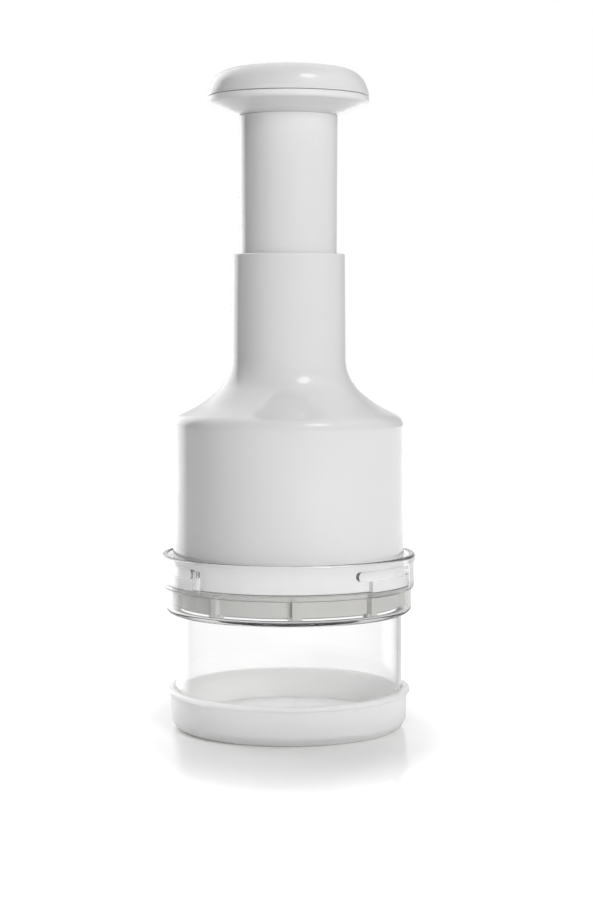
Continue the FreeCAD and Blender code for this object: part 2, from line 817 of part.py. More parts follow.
def make_knob_screws():
    screw = pan_head_screw(knob_screw_radius, knob_screw_head, knob_screw_length)
    screw.translate(Vector(knob_screw_circle, 0, knob_plug_foot + knob_plug_floor))
    return Part.makeCompound(around(screw, knob_screw_count, guide_key_angle))


# Spindle: square foot, helix, round journal

def stem_pin_bar(radius, length):
    """Bar across the stem at the pin's height, along X."""
    return Part.makeCylinder(radius, length, Vector(-length / 2, 0, stem_pin_height), Vector(1, 0, 0))


def make_spindle():
    foot = box(spindle_width, spindle_width, spindle_foot, helix_foot)
    helix = twisted_square(spindle_width, helix_foot, helix_top, 12)
    shank_radius = spindle_width / 2 - fine_break
    shank = turned([
        (0, helix_top, 0),
        (shank_radius, helix_top, 0),
        (shank_radius, journal_foot, 0),
        (journal_radius, journal_foot, 0),
        (journal_radius, journal_top, -fine_break),
        (0, journal_top, 0),
    ])
    screw_hole = pin(spindle_screw_radius, journal_top - spindle_screw_length - 1, journal_top + 1)
    spindle = foot.fuse(helix).fuse(shank)
    return drilled(spindle, [stem_pin_bar(stem_pin_radius, stem_width * 2), screw_hole])


def make_spindle_bush():
    return turned([
        (bush_bore, bush_foot, -fine_break),
        (bush_radius + bush_flange, bush_foot, -fine_break),
        (bush_radius + bush_flange, web_foot, 0),
        (bush_radius, web_foot, 0),
        (bush_radius, collar_top, -fine_break),
        (bush_bore, collar_top, -fine_break),
    ])


def make_thrust_washer():
    foot = journal_foot + press_gap
    return ring(bush_radius + bush_flange, bush_bore, foot, foot + thrust_washer_thickness)


def make_spindle_washer():
    foot = journal_top + press_gap
    outer = spindle_screw_head + 1.2
    return ring(outer, spindle_screw_radius + touch_gap, foot, foot + thrust_washer_thickness)


def make_spindle_screw():
    screw = pan_head_screw(spindle_screw_radius, spindle_screw_head, spindle_screw_length)
    screw.translate(Vector(0, 0, journal_top + 2 * press_gap + thrust_washer_thickness))
    return screw


# Blade, stem and wiper

def blade_corners():
    """Ends and folds of the strip as (x, y), from one end to the other."""
    end_radius = cup_bore - blade_margin - blade_thickness / 2
    end_x = math.sqrt(end_radius ** 2 - blade_end_reach ** 2)
    fold_radius = cup_bore - blade_fold_margin
    half = [(-end_x, blade_end_reach)]
    for number in range(1, blade_folds + 1):
        x = end_x * (1 - number / (blade_folds + 1))
        y = math.sqrt(fold_radius ** 2 - x ** 2)
        half.append((-x, y if number % 2 == 0 else -y))
    return half + [(-x, -y) for x, y in reversed(half)]


def zigzag_path(z):
    """Middle line of the folded strip, with a rounded bend at each fold."""
    points = [Vector(x, y, z) for x, y in blade_corners()]
    edges = []
    end = points[0]
    for before, here, after in zip(points, points[1:], points[2:]):
        back = (before - here).normalize()
        ahead = (after - here).normalize()
        half_angle = back.getAngle(ahead) / 2
        reach = blade_bend / math.tan(half_angle)
        middle = here + (back + ahead).normalize() * (blade_bend / math.sin(half_angle) - blade_bend)
        edges.append(Part.LineSegment(end, here + back * reach).toShape())
        edges.append(Part.Arc(here + back * reach, middle, here + ahead * reach).toShape())
        end = here + ahead * reach
    edges.append(Part.LineSegment(end, points[-1]).toShape())
    return Part.Wire(edges)


def zigzag_line(half_width, z):
    """Closed line round the zigzag at half the strip's width."""
    return zigzag_path(z).makeOffset2D(half_width, 0, False, False)


def zigzag_strip(half_width, foot, top):
    """Upright strip along the zigzag."""
    return Part.Face(zigzag_line(half_width, foot)).extrude(Vector(0, 0, top - foot))


def rivet_bars(radius, length):
    """Bars through the blade's middle run, square to it."""
    corners = blade_corners()
    first = Vector(*corners[blade_folds], 0)
    last = Vector(*corners[blade_folds + 1], 0)
    along = (last - first).normalize()
    across = Vector(-along.y, along.x, 0)
    level = Vector(0, 0, blade_foot + blade_height * rivet_level)
    bars = []
    for shift in (-rivet_spacing / 2, rivet_spacing / 2):
        start = along * shift - across * (length / 2) + level
        bars.append(Part.makeCylinder(radius, length, start, across))
    return bars


def make_zigzag_blade():
    edge_line = zigzag_line(blade_edge / 2, blade_foot)
    full_line = zigzag_line(blade_thickness / 2, blade_foot + blade_bevel)
    ground = Part.makeLoft([edge_line, full_line], True, True)
    upper = zigzag_strip(blade_thickness / 2, blade_foot + blade_bevel, blade_top)
    blade = ground.fuse(upper).removeSplitter()
    return drilled(blade, rivet_bars(rivet_radius, stem_width))


def make_blade_rivets():
    return Part.makeCompound(rivet_bars(rivet_radius - press_gap / 2, stem_width - 2 * rivet_inset))


def make_blade_stem():
    socket_width = spindle_width + 2 * press_gap
    stem = rounded_column(stem_width, stem_corner, stem_foot, stem_top)
    stem = stem.cut(box(socket_width, socket_width, spindle_foot - root, stem_top + 1))
    stem = stem.cut(zigzag_strip(blade_thickness / 2 + press_gap, stem_foot - 1, blade_top + touch_gap))
    stem = drilled(stem, rivet_bars(rivet_radius, stem_width * 2))
    return stem.cut(stem_pin_bar(stem_pin_radius, stem_width * 2))


def make_stem_pin():
    return stem_pin_bar(stem_pin_radius - press_gap / 2, stem_width - 2 * seat_gap)


def make_wiper_disc():
    lips_foot = wiper_web_top - root
    lips_top = wiper_web_top + scraper_height
    slot = blade_thickness / 2 + slot_gap
    hole_width = stem_width + 2 * sliding_gap
    disc = turned([
        (0, wiper_web_foot, 0),
        (wiper_bore, wiper_web_foot, 0),
        (wiper_bore, wiper_foot, -fine_break),
        (wiper_radius, wiper_foot, -edge_break),
        (wiper_radius, wiper_top, 0.5),
        (wiper_bore, wiper_top, -edge_break),
        (wiper_bore, wiper_web_top, 0),
        (0, wiper_web_top, 0),
    ])
    lips = zigzag_strip(slot + scraper_wall, lips_foot, lips_top)
    guide = rounded_column(hole_width + 2 * scraper_wall, stem_corner + scraper_wall, lips_foot, lips_top)
    disc = disc.fuse(lips.fuse(guide).common(pin(wiper_bore + root, wiper_foot, wiper_top)))
    disc = disc.cut(zigzag_strip(slot, wiper_foot - 1, wiper_top + 1))
    disc = disc.cut(rounded_column(hole_width, stem_corner + sliding_gap, wiper_foot - 1, wiper_top + 1))
    rib_reach = lower_ring_bore - seat_gap
    pad_foot = ledge_height + seat_gap
    rib_root = wiper_radius - root
    rib = spoke(rib_root, rib_reach + 1, wiper_rib_width, wiper_foot, wiper_top - wiper_rib_drop)
    pad = spoke(rib_root, rib_reach + 1, wiper_pad_width, pad_foot, pad_foot + wiper_pad_height)
    rib = rib.common(pin(rib_reach, ledge_height, wiper_top))
    pad = pad.common(pin(lower_ring_bore - ledge_round, ledge_height, wiper_top))
    return joined(disc, around(rib.fuse(pad), wiper_rib_count, wiper_rib_angle - 90)).removeSplitter()


def save(name, shape):
    """Write one piece, and print its size for a quick look."""
    if not shape.isValid():
        print("not valid:", name)
    shape.exportStep("parts/" + name + ".step")
    print(name, len(shape.Solids), round(shape.Volume / 1000, 2), "cm3")


os.makedirs("parts", exist_ok=True)
print("stroke", round(stroke, 2), "height", round(knob_top, 2))
save("base_cap", make_base_cap())
save("clear_cup", make_clear_cup())
save("housing_shell", make_housing_shell())
save("guide_sleeve", make_guide_sleeve())
save("mechanism_plate", make_mechanism_plate())
save("plate_screws", make_plate_screws())
save("drive_nut", make_drive_nut())
save("ratchet_ring", make_ratchet_ring())
save("nut_spring", make_nut_spring())
save("lower_spring_washer", make_spring_washer(plate_top, lower_seat_top))
save("return_spring", make_return_spring())
save("upper_spring_washer", make_spring_washer(upper_seat_foot, web_foot))
save("plunger_tube", make_plunger_tube())
save("knob_base", make_knob_base())
save("knob_cap", make_knob_cap())
save("knob_screws", make_knob_screws())
save("spindle", make_spindle())
save("spindle_bush", make_spindle_bush())
save("thrust_washer", make_thrust_washer())
save("spindle_washer", make_spindle_washer())
save("spindle_screw", make_spindle_screw())
save("blade_stem", make_blade_stem())
save("stem_pin", make_stem_pin())
save("zigzag_blade", make_zigzag_blade())
save("blade_rivets", make_blade_rivets())
save("wiper_disc", make_wiper_disc())
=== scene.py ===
import math
import bmesh
import bpy
from mathutils import Matrix, Vector


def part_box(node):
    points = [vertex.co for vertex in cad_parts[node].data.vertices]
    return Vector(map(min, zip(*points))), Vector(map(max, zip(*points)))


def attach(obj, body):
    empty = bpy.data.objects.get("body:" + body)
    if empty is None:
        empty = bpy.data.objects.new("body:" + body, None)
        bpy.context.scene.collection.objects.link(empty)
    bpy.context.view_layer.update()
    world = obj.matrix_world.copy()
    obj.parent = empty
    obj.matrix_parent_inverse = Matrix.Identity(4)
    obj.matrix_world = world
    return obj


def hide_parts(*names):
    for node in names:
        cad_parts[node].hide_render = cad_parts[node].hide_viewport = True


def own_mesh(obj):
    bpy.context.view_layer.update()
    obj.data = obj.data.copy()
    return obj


# Plunger food chopper: lathe-turned shells, geometry-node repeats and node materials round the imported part.

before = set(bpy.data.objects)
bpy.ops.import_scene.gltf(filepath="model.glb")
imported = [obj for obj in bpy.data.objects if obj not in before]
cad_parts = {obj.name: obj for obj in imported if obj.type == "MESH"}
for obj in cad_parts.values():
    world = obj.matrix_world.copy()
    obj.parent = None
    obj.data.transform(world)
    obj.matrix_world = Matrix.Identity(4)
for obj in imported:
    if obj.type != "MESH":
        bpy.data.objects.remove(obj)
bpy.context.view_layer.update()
mm = 0.001

meshing = {
    "segments": 240,        # faces round a turned piece
    "fineSegments": 288,    # the same for the two widest pieces
    "onAxis": 1e-6,         # a point nearer to the axis than this is on it
    "endSteps": 9,          # steps over the rounded end of a lug
    "hardAngle": 32,        # edges over this many degrees stay hard
    "bevelAngle": 35,       # edges over this many degrees are bevelled
}


# Meshes

def roundedLine(corners, stepAngle):
    # closed outline in (r, z) millimetres; each corner is (r, z, radius), a negative radius is a bevel
    points = []
    count = len(corners)
    for index in range(count):
        r, z, rounding = corners[index]
        here = Vector((r, z))
        if rounding == 0:
            points.append(here)
            continue
        back = (Vector(corners[index - 1][:2]) - here).normalized()
        ahead = (Vector(corners[(index + 1) % count][:2]) - here).normalized()
        if rounding < 0:
            points += [here - back * rounding, here - ahead * rounding]
            continue
        half = back.angle(ahead) / 2
        reach = rounding / math.tan(half)
        middle = here + (back + ahead).normalized() * (rounding / math.sin(half))
        start = here + back * reach - middle
        turn = math.pi - 2 * half
        turn *= 1 if back.x * ahead.y - back.y * ahead.x < 0 else -1
        steps = max(2, math.ceil(math.degrees(abs(turn)) / stepAngle))
        for step in range(steps + 1):
            points.append(middle + Matrix.Rotation(turn * step / steps, 2) @ start)
    return points


def newObject(name, data):
    thing = bpy.data.objects.new(name, data)
    bpy.context.scene.collection.objects.link(thing)
    return thing


def newPiece(name, bm):
    # finishes a bmesh as an object at the origin, smooth apart from its hard edges
    mesh = bpy.data.meshes.new(name)
    bm.to_mesh(mesh)
    bm.free()
    mesh.shade_smooth()
    mesh.set_sharp_from_angle(angle=math.radians(meshing["hardAngle"]))
    return newObject(name, mesh)


def lathe(name, corners, segments=meshing["segments"], stepAngle=3.5):
    # turns a closed outline about the tool's axis, faces outwards
    points = roundedLine(corners, stepAngle)
    area = 0
    for index, point in enumerate(points):
        before = points[index - 1]
        area += before.x * point.y - point.x * before.y
    if area < 0:
        points.reverse()
    bm = bmesh.new()
    rings = []
    for point in points:
        if point.x < meshing["onAxis"]:
            rings.append([bm.verts.new((0, 0, point.y * mm))])
            continue
        ring = []
        for step in range(segments):
            angle = 2 * math.pi * step / segments
            spot = (point.x * math.cos(angle) * mm, point.x * math.sin(angle) * mm, point.y * mm)
            ring.append(bm.verts.new(spot))
        rings.append(ring)
    for index, ring in enumerate(rings):
        before = rings[index - 1]
        if len(ring) == 1 and len(before) == 1:
            continue
        for step in range(segments):
            following = (step + 1) % segments
            corner = [before[step % len(before)], before[following % len(before)]]
            corner += [ring[following % len(ring)], ring[step % len(ring)]]
            face = [v for number, v in enumerate(corner) if v not in corner[:number]]
            bm.faces.new(face)
    return newPiece(name, bm)


def sectorInto(bm, size, angle, arc, segments, endRound=0):
    # piece of a ring (inner, outer, foot, top in mm) about an angle from the front towards +X
    inner, outer, foot, top = size
    middle = (foot + top) / 2
    halfHeight = (top - foot) / 2
    first = math.radians(angle - 90 - arc / 2)
    last = math.radians(angle - 90 + arc / 2)
    stations = []
    endArc = endRound / outer
    if endRound:
        for step in range(meshing["endSteps"] + 1):
            turn = math.pi / 2 * step / meshing["endSteps"]
            height = halfHeight - endRound * (1 - math.cos(turn))
            stations.append((first + endArc * (1 - math.sin(turn)), max(height, halfHeight - endRound)))
        stations.reverse()
    else:
        stations.append((first, halfHeight))
    start = list(stations)
    for step in range(1, segments):
        share = step / segments
        stations.append((first + endArc + (last - first - 2 * endArc) * share, halfHeight))
    stations += [(first + last - a, h) for a, h in reversed(start)]
    loops = []
    for a, h in stations:
        loop = []
        for r, z in ((inner, middle - h), (outer, middle - h), (outer, middle + h), (inner, middle + h)):
            loop.append(bm.verts.new((r * math.cos(a) * mm, r * math.sin(a) * mm, z * mm)))
        loops.append(loop)
    for before, after in zip(loops, loops[1:]):
        for side in range(4):
            following = (side + 1) % 4
            bm.faces.new((before[side], after[side], after[following], before[following]))
    bm.faces.new(loops[0])
    bm.faces.new(list(reversed(loops[-1])))


def bevelled(bm, width, segments=2):
    # breaks the sharp edges of what is in a bmesh
    least = math.radians(meshing["bevelAngle"])
    edges = [edge for edge in bm.edges if len(edge.link_faces) == 2 and edge.calc_face_angle() > least]
    bmesh.ops.bevel(bm, geom=edges, offset=width * mm, segments=segments, affect="EDGES", clamp_overlap=True)


def evaluatedMesh(piece):
    # the plain mesh that a piece's modifiers give
    bpy.context.view_layer.update()
    graph = bpy.context.evaluated_depsgraph_get()
    return bpy.data.meshes.new_from_object(piece.evaluated_get(graph))


def merged(target, others, mode="UNION"):
    # boolean of a piece with others, which are used up
    for other in others:
        cutter = target.modifiers.new("join", "BOOLEAN")
        cutter.operation = mode
        cutter.solver = "EXACT"
        cutter.object = other
        mesh = evaluatedMesh(target)
        target.modifiers.remove(cutter)
        target.data = mesh
        bpy.data.objects.remove(other)
    return target


def joined(target, other):
    # two closed bodies in one mesh, the second one used up
    bm = bmesh.new()
    bm.from_mesh(target.data)
    bm.from_mesh(other.data)
    bpy.data.objects.remove(other)
    bm.to_mesh(target.data)
    bm.free()
    return target


# Geometry-node trees

def newTree(name, inputs):
    tree = bpy.data.node_groups.new(name, "GeometryNodeTree")
    sockets = {}
    for label, kind in inputs:
        sockets[label] = tree.interface.new_socket(label, in_out="INPUT", socket_type=kind).identifier
    tree.interface.new_socket("Geometry", in_out="OUTPUT", socket_type="NodeSocketGeometry")
    return tree, sockets


class TreeKit:
    # short hands for adding and linking nodes
    def __init__(self, tree):
        self.tree = tree

    def feed(self, node, inputs):
        # links the sockets and sets the plain values
        for socket, source in inputs.items():
            if isinstance(source, bpy.types.NodeSocket):
                self.tree.links.new(source, node.inputs[socket])
            else:
                node.inputs[socket].default_value = source

    def add(self, kind, inputs=None, **settings):
        node = self.tree.nodes.new(kind)
        for key, value in settings.items():
            setattr(node, key, value)
        self.feed(node, inputs or {})
        return node

    def math(self, operation, *values):
        return self.add("ShaderNodeMath", dict(enumerate(values)), operation=operation).outputs[0]

    def noise(self, place, scale, detail, roughness=0.5):
        inputs = {"Vector": place, "Scale": scale, "Detail": detail, "Roughness": roughness}
        return self.add("ShaderNodeTexNoise", inputs).outputs[0]

    def scaled(self, vector, share):
        return self.add("ShaderNodeVectorMath", {0: vector, "Scale": share}, operation="SCALE").outputs[0]

    def ranged(self, value, limits, interpolation="LINEAR"):
        # limits are from and to for the value, then from and to for the result
        inputs = {0: value} | dict(enumerate(limits, start=1))
        return self.add("ShaderNodeMapRange", inputs, interpolation_type=interpolation).outputs[0]

    def mixed(self, share, low, high):
        return self.add("ShaderNodeMix", {0: share, 2: low, 3: high}).outputs[0]

    def finish(self, geometry, material):
        real = self.add("GeometryNodeRealizeInstances", {0: geometry})
        painted = self.add("GeometryNodeSetMaterial", {"Geometry": real.outputs[0], "Material": material})
        self.add("NodeGroupOutput", {0: painted.outputs[0]})


def roundArrayTree():
    # copies of a part in equal steps about the axis
    tree, sockets = newTree("copiesAround", [
        ("Part", "NodeSocketGeometry"),
        ("Count", "NodeSocketInt"),
        ("First Angle", "NodeSocketFloat"),
        ("Material", "NodeSocketMaterial"),
    ])
    kit = TreeKit(tree)
    given = kit.add("NodeGroupInput").outputs
    points = kit.add("GeometryNodePoints", {"Count": given["Count"]})
    step = kit.math("DIVIDE", 2 * math.pi, given["Count"])
    number = kit.add("GeometryNodeInputIndex").outputs[0]
    angle = kit.math("MULTIPLY_ADD", number, step, given["First Angle"])
    turn = kit.add("ShaderNodeCombineXYZ", {"Z": angle})
    rotation = kit.add("FunctionNodeEulerToRotation", {0: turn.outputs[0]})
    copies = kit.add("GeometryNodeInstanceOnPoints", {
        "Points": points.outputs[0],
        "Instance": given["Part"],
        "Rotation": rotation.outputs[0],
    })
    kit.finish(copies.outputs[0], given["Material"])
    return tree, sockets


def evaluated(piece, tree, sockets, values):
    # runs a tree on a piece and keeps the result as its plain mesh
    modifier = piece.modifiers.new("nodes", "NODES")
    modifier.node_group = tree
    for label, value in values.items():
        modifier[sockets[label]] = value
    mesh = evaluatedMesh(piece)
    piece.modifiers.remove(modifier)
    piece.data = mesh
    return piece


copiesAround, copiesSockets = roundArrayTree()


def repeatedAround(piece, count, firstAngle, material):
    values = {"Count": count, "First Angle": math.radians(firstAngle), "Material": material}
    return evaluated(piece, copiesAround, copiesSockets, values)


# Shader groups shared by the materials

def shaderGroup(name, inputs):
    # an empty group with these inputs, for a color, a roughness and a height
    group = bpy.data.node_groups.new(name, "ShaderNodeTree")
    for label, kind, value in inputs:
        socket = group.interface.new_socket(label, in_out="INPUT", socket_type=kind)
        socket.default_value = value
    for label, kind in {"Color": "Color", "Roughness": "Float", "Height": "Float"}.items():
        group.interface.new_socket(label, in_out="OUTPUT", socket_type="NodeSocket" + kind)
    kit = TreeKit(group)
    return group, kit, kit.add("NodeGroupInput").outputs


moulding = {
    "cloudScale": 28.0,
    "cloudDetail": 3.0,
    "smearScale": 240.0,
    "smearDetail": 4.0,
    "smearRoughness": 0.7,
    "rippleDetail": 1.0,
    "grainDetail": 2.0,
}


def mouldedGroup():
    # plastic straight from the mould: faint cloudiness, uneven gloss and a ripple that bends reflections a little
    group, kit, given = shaderGroup("mouldedPlastic", [
        ("Tone", "NodeSocketColor", (0.8, 0.8, 0.8, 1)),
        ("Cloud", "NodeSocketFloat", 0.02),
        ("Roughness", "NodeSocketFloat", 0.15),
        ("Gloss Spread", "NodeSocketFloat", 0.05),
        ("Ripple Size", "NodeSocketFloat", 160.0),
        ("Ripple", "NodeSocketFloat", 0.3),
        ("Grain Size", "NodeSocketFloat", 3000.0),
        ("Grain", "NodeSocketFloat", 0.1),
    ])
    place = kit.add("ShaderNodeTexCoord").outputs["Object"]
    cloud = kit.noise(place, moulding["cloudScale"], moulding["cloudDetail"])
    smear = kit.noise(place, moulding["smearScale"], moulding["smearDetail"], moulding["smearRoughness"])
    ripple = kit.noise(place, given["Ripple Size"], moulding["rippleDetail"])
    grain = kit.noise(place, given["Grain Size"], moulding["grainDetail"])
    dim = kit.math("SUBTRACT", 1.0, kit.math("MULTIPLY", cloud, given["Cloud"]))
    spread = kit.math("MULTIPLY", kit.math("SUBTRACT", smear, 0.5), given["Gloss Spread"])
    waves = kit.math("MULTIPLY", ripple, given["Ripple"])
    kit.add("NodeGroupOutput", {
        "Color": kit.scaled(given["Tone"], dim),
        "Roughness": kit.math("ADD", given["Roughness"], spread),
        "Height": kit.math("ADD", waves, kit.math("MULTIPLY", grain, given["Grain"])),
    })
    return group


drawing = {
    "lineDetail": 3.0,
    "lineShade": 0.22,
    "lineTone": 0.84,
    "lineRoughness": 0.16,
    "stainScale": 120.0,
    "stainDetail": 4.0,
    "stainShade": 0.12,
    "stainTone": 0.94,
}


def drawnGroup():
    # metal with fine lines along one direction: the line scales are large across the lines and small along them
    group, kit, given = shaderGroup("drawnMetal", [
        ("Tone", "NodeSocketColor", (0.6, 0.6, 0.6, 1)),
        ("Line Scale", "NodeSocketVector", (40.0, 40.0, 4000.0)),
        ("Roughness", "NodeSocketFloat", 0.3),
        ("Depth", "NodeSocketFloat", 0.5),
    ])
    place = kit.add("ShaderNodeTexCoord").outputs["Object"]
    stretch = kit.add("ShaderNodeVectorMath", {0: place, 1: given["Line Scale"]}, operation="MULTIPLY")
    lines = kit.noise(stretch.outputs[0], 1.0, drawing["lineDetail"])
    stain = kit.noise(place, drawing["stainScale"], drawing["stainDetail"])
    shade = kit.math("MULTIPLY_ADD", lines, drawing["lineShade"], drawing["lineTone"])
    blotch = kit.math("MULTIPLY_ADD", stain, drawing["stainShade"], drawing["stainTone"])
    kit.add("NodeGroupOutput", {
        "Color": kit.scaled(given["Tone"], kit.math("MULTIPLY", shade, blotch)),
        "Roughness": kit.math("MULTIPLY_ADD", lines, drawing["lineRoughness"], given["Roughness"]),
        "Height": kit.math("MULTIPLY", lines, given["Depth"]),
    })
    return group


mouldedPlastic = mouldedGroup()
drawnMetal = drawnGroup()


bumpDistance = 0.0002


def principled(name, fixed):
    # a material with these values set on its shader's own sockets
    material = bpy.data.materials.new(name)
    material.use_nodes = True
    kit = TreeKit(material.node_tree)
    shader = material.node_tree.nodes["Principled BSDF"]
    kit.feed(shader, fixed)
    return material, kit, shader


def newMaterial(name, group, values, fixed, bump):
    # a Principled shader whose color, roughness and bump come from a shared group
    material, kit, shader = principled(name, fixed)
    finish = kit.add("ShaderNodeGroup", values, node_tree=group).outputs
    relief = {"Height": finish["Height"], "Strength": bump, "Distance": bumpDistance}
    kit.feed(shader, {
        "Base Color": finish["Color"],
        "Roughness": finish["Roughness"],
        "Normal": kit.add("ShaderNodeBump", relief).outputs[0],
    })
    return material


whiteGloss = newMaterial("whiteGlossAbs", mouldedPlastic, {
    "Tone": (0.80, 0.80, 0.80, 1),
    "Cloud": 0.015,
    "Roughness": 0.08,
    "Gloss Spread": 0.04,
    "Ripple Size": 90.0,
    "Ripple": 0.5,
    "Grain": 0.02,
}, {"IOR": 1.53}, bump=0.12)
whiteInner = newMaterial("whiteInnerPlastic", mouldedPlastic, {
    "Tone": (0.80, 0.80, 0.79, 1),
    "Roughness": 0.42,
    "Gloss Spread": 0.12,
    "Grain": 0.5,
}, {"IOR": 1.5}, bump=0.25)
bearingPlastic = newMaterial("bearingAcetal", mouldedPlastic, {
    "Tone": (0.74, 0.73, 0.68, 1),
    "Roughness": 0.38,
    "Gloss Spread": 0.1,
    "Grain": 0.3,
}, {
    "IOR": 1.48,
    "Subsurface Weight": 0.15,
    "Subsurface Radius": (1.0, 1.0, 0.9),
    "Subsurface Scale": 0.002,
}, bump=0.2)
# the wiper's tone is partly its own light grey and partly painted shade: it is darker than the plastic, for the
# shade inside the cup
wiperGreyAndPaintedShade = newMaterial("wiperGreyPaintedShadePlastic", mouldedPlastic, {
    "Tone": (0.58, 0.58, 0.555, 1),
    "Cloud": 0.06,
    "Roughness": 0.34,
    "Gloss Spread": 0.12,
    "Grain": 0.4,
}, {"IOR": 1.49, "Subsurface Weight": 0.1, "Subsurface Scale": 0.002}, bump=0.25)
milkyCap = newMaterial("milkyCapPlastic", mouldedPlastic, {
    "Tone": (0.93, 0.93, 0.905, 1),
    "Cloud": 0.04,
    "Roughness": 0.3,
    "Gloss Spread": 0.08,
    "Grain": 0.3,
}, {
    "IOR": 1.51,
    "Subsurface Weight": 1.0,
    "Subsurface Radius": (1.0, 1.0, 0.94),
    "Subsurface Scale": 0.010,
}, bump=0.15)
zincSteel = newMaterial("zincSteel", drawnMetal, {
    "Tone": (0.62, 0.63, 0.64, 1),
    "Line Scale": (900.0, 900.0, 900.0),
    "Roughness": 0.22,
}, {"Metallic": 1.0}, bump=0.1)
springSteel = newMaterial("springSteel", drawnMetal, {
    "Tone": (0.52, 0.52, 0.53, 1),
    "Line Scale": (300.0, 300.0, 3000.0),
    "Roughness": 0.28,
}, {"Metallic": 1.0}, bump=0.1)
spindleSteel = newMaterial("spindleSteel", drawnMetal, {
    "Tone": (0.58, 0.58, 0.59, 1),
    "Line Scale": (3500.0, 3500.0, 60.0),
    "Roughness": 0.26,
}, {"Metallic": 1.0}, bump=0.15)
bladeSteel = newMaterial("bladeSteel", drawnMetal, {
    "Tone": (0.66, 0.66, 0.67, 1),
    "Line Scale": (60.0, 60.0, 5000.0),
    "Roughness": 0.24,
}, {"Metallic": 1.0}, bump=0.15)


clear = {
    "fixed": {"Transmission Weight": 1.0, "IOR": 1.57, "Roughness": 0.0},
    "blend": 0.5,
    "paintedEdgeShade": (0.72, 1.0, 0.995, 0.8),     # painted shade edge on: from and to this much edge on, from and to this tint
    "shadowTone": (0.99, 0.99, 0.99, 1),
    "volumeTone": (0.50, 0.51, 0.56, 1),
    "volumeDensity": 8.0,
}


def clearMaterial():
    # polished clear moulding: it refracts, greys over its thickness, carries a painted shade where it is seen
    # edge on, and hardly shades
    material, kit, shader = principled("clearSan", clear["fixed"])
    facing = kit.add("ShaderNodeLayerWeight", {"Blend": clear["blend"]}).outputs["Facing"]
    # the tint darkens the plastic where it is seen edge on: a painted shade on its outlines
    kit.feed(shader, {"Base Color": kit.ranged(facing, clear["paintedEdgeShade"], "SMOOTHSTEP")})
    path = kit.add("ShaderNodeLightPath").outputs
    through = kit.add("ShaderNodeBsdfTransparent", {"Color": clear["shadowTone"]})
    lit = kit.add("ShaderNodeMixShader", {0: path["Is Shadow Ray"], 1: shader.outputs[0], 2: through.outputs[0]})
    absorbing = {"Color": clear["volumeTone"], "Density": clear["volumeDensity"]}
    kit.feed(material.node_tree.nodes["Material Output"], {
        "Surface": lit.outputs[0],
        "Volume": kit.add("ShaderNodeVolumeAbsorption", absorbing).outputs[0],
    })
    return material


clearPlastic = clearMaterial()
print("materials ready")


def paint(piece, material):
    piece.data.materials.clear()
    piece.data.materials.append(material)


def placed(piece, node, body, material):
    paint(piece, material)
    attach(piece, body)
    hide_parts(node)
    return piece


def levels(node):
    # foot and top of a CAD node in millimetres
    low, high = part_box(node)
    return low.z / mm, high.z / mm


# Knob: domed cap over a flared base

knob = {
    "radius": 30.16,
    "crown": 3.0,
    "crownRadius": 12.0,
    "crownRound": 85.0,
    "browInset": 2.56,
    "browRound": 9.2,
    "sideHeight": 1.3,
    "sideRound": 6.0,
    "partingGap": 0.2,
    "wall": 2.3,
    "wallBrow": 0.7,        # how far the hollow's brow stands in, as a share of the wall
    "skirtHeight": 2.2,
    "skirtInset": 0.1,
    "skirtRound": 1.7,
    "flareStep": 4.02,
    "flareRise": 1.9,
    "flareRound": 6.0,
    "hollowInset": 1.0,
    "hollowLift": 2.0,
    "neckLift": 1.6,
    "spigotHeight": 3.0,
    "spigotGap": 0.15,
    "spigotEdge": 0.4,
    "spigotRoot": 0.6,
    "plugWall": 1.8,
    "plugFloor": 2.4,
    "plugGap": 0.05,
    "plugRound": 0.5,
    "edge": 0.2,
}
shaft = {
    "topRadius": 18.38,
    "draft": 0.38,
    "wall": 1.9,
    "webLift": 40.0,
    "webThickness": 3.0,
    "bushBore": 4.53,
    "seatDrop": 10.2,
    "seatThickness": 2.4,
    "seatBore": 6.0,
    "edge": 0.35,
    "topEdge": 0.2,
    "webRound": 0.8,
    "keyCount": 3,
    "keyWidth": 5.0,
    "keyHeight": 6.0,
    "keyReach": 1.25,
    "keyRoot": 0.9,
    "keyEdge": 0.25,
    "keySegments": 6,
    "keyStart": 90.0,       # a key is drawn on +X and then turned by its own angle
    "keyAngle": 30.0,
}


def makeKnobCap():
    foot, top = levels("knob_cap")
    parting = foot - knob["partingGap"]
    radius = knob["radius"]
    brow = radius - knob["browInset"]
    inside = radius - knob["wall"]
    hollowTop = top - knob["wall"]
    return lathe("knobDome", [
        (0, top, 0),
        (knob["crownRadius"], top, knob["crownRound"]),
        (brow, top - knob["crown"], knob["browRound"]),
        (radius, parting + knob["sideHeight"], knob["sideRound"]),
        (radius, foot, -knob["edge"]),
        (inside, foot, 0),
        (inside, foot + knob["spigotHeight"], 0),
        (brow - knob["wall"] * knob["wallBrow"], hollowTop - knob["crown"], knob["browRound"] - knob["wall"]),
        (knob["crownRadius"], hollowTop, knob["crownRound"]),
        (0, hollowTop, 0),
    ], stepAngle=2.0)


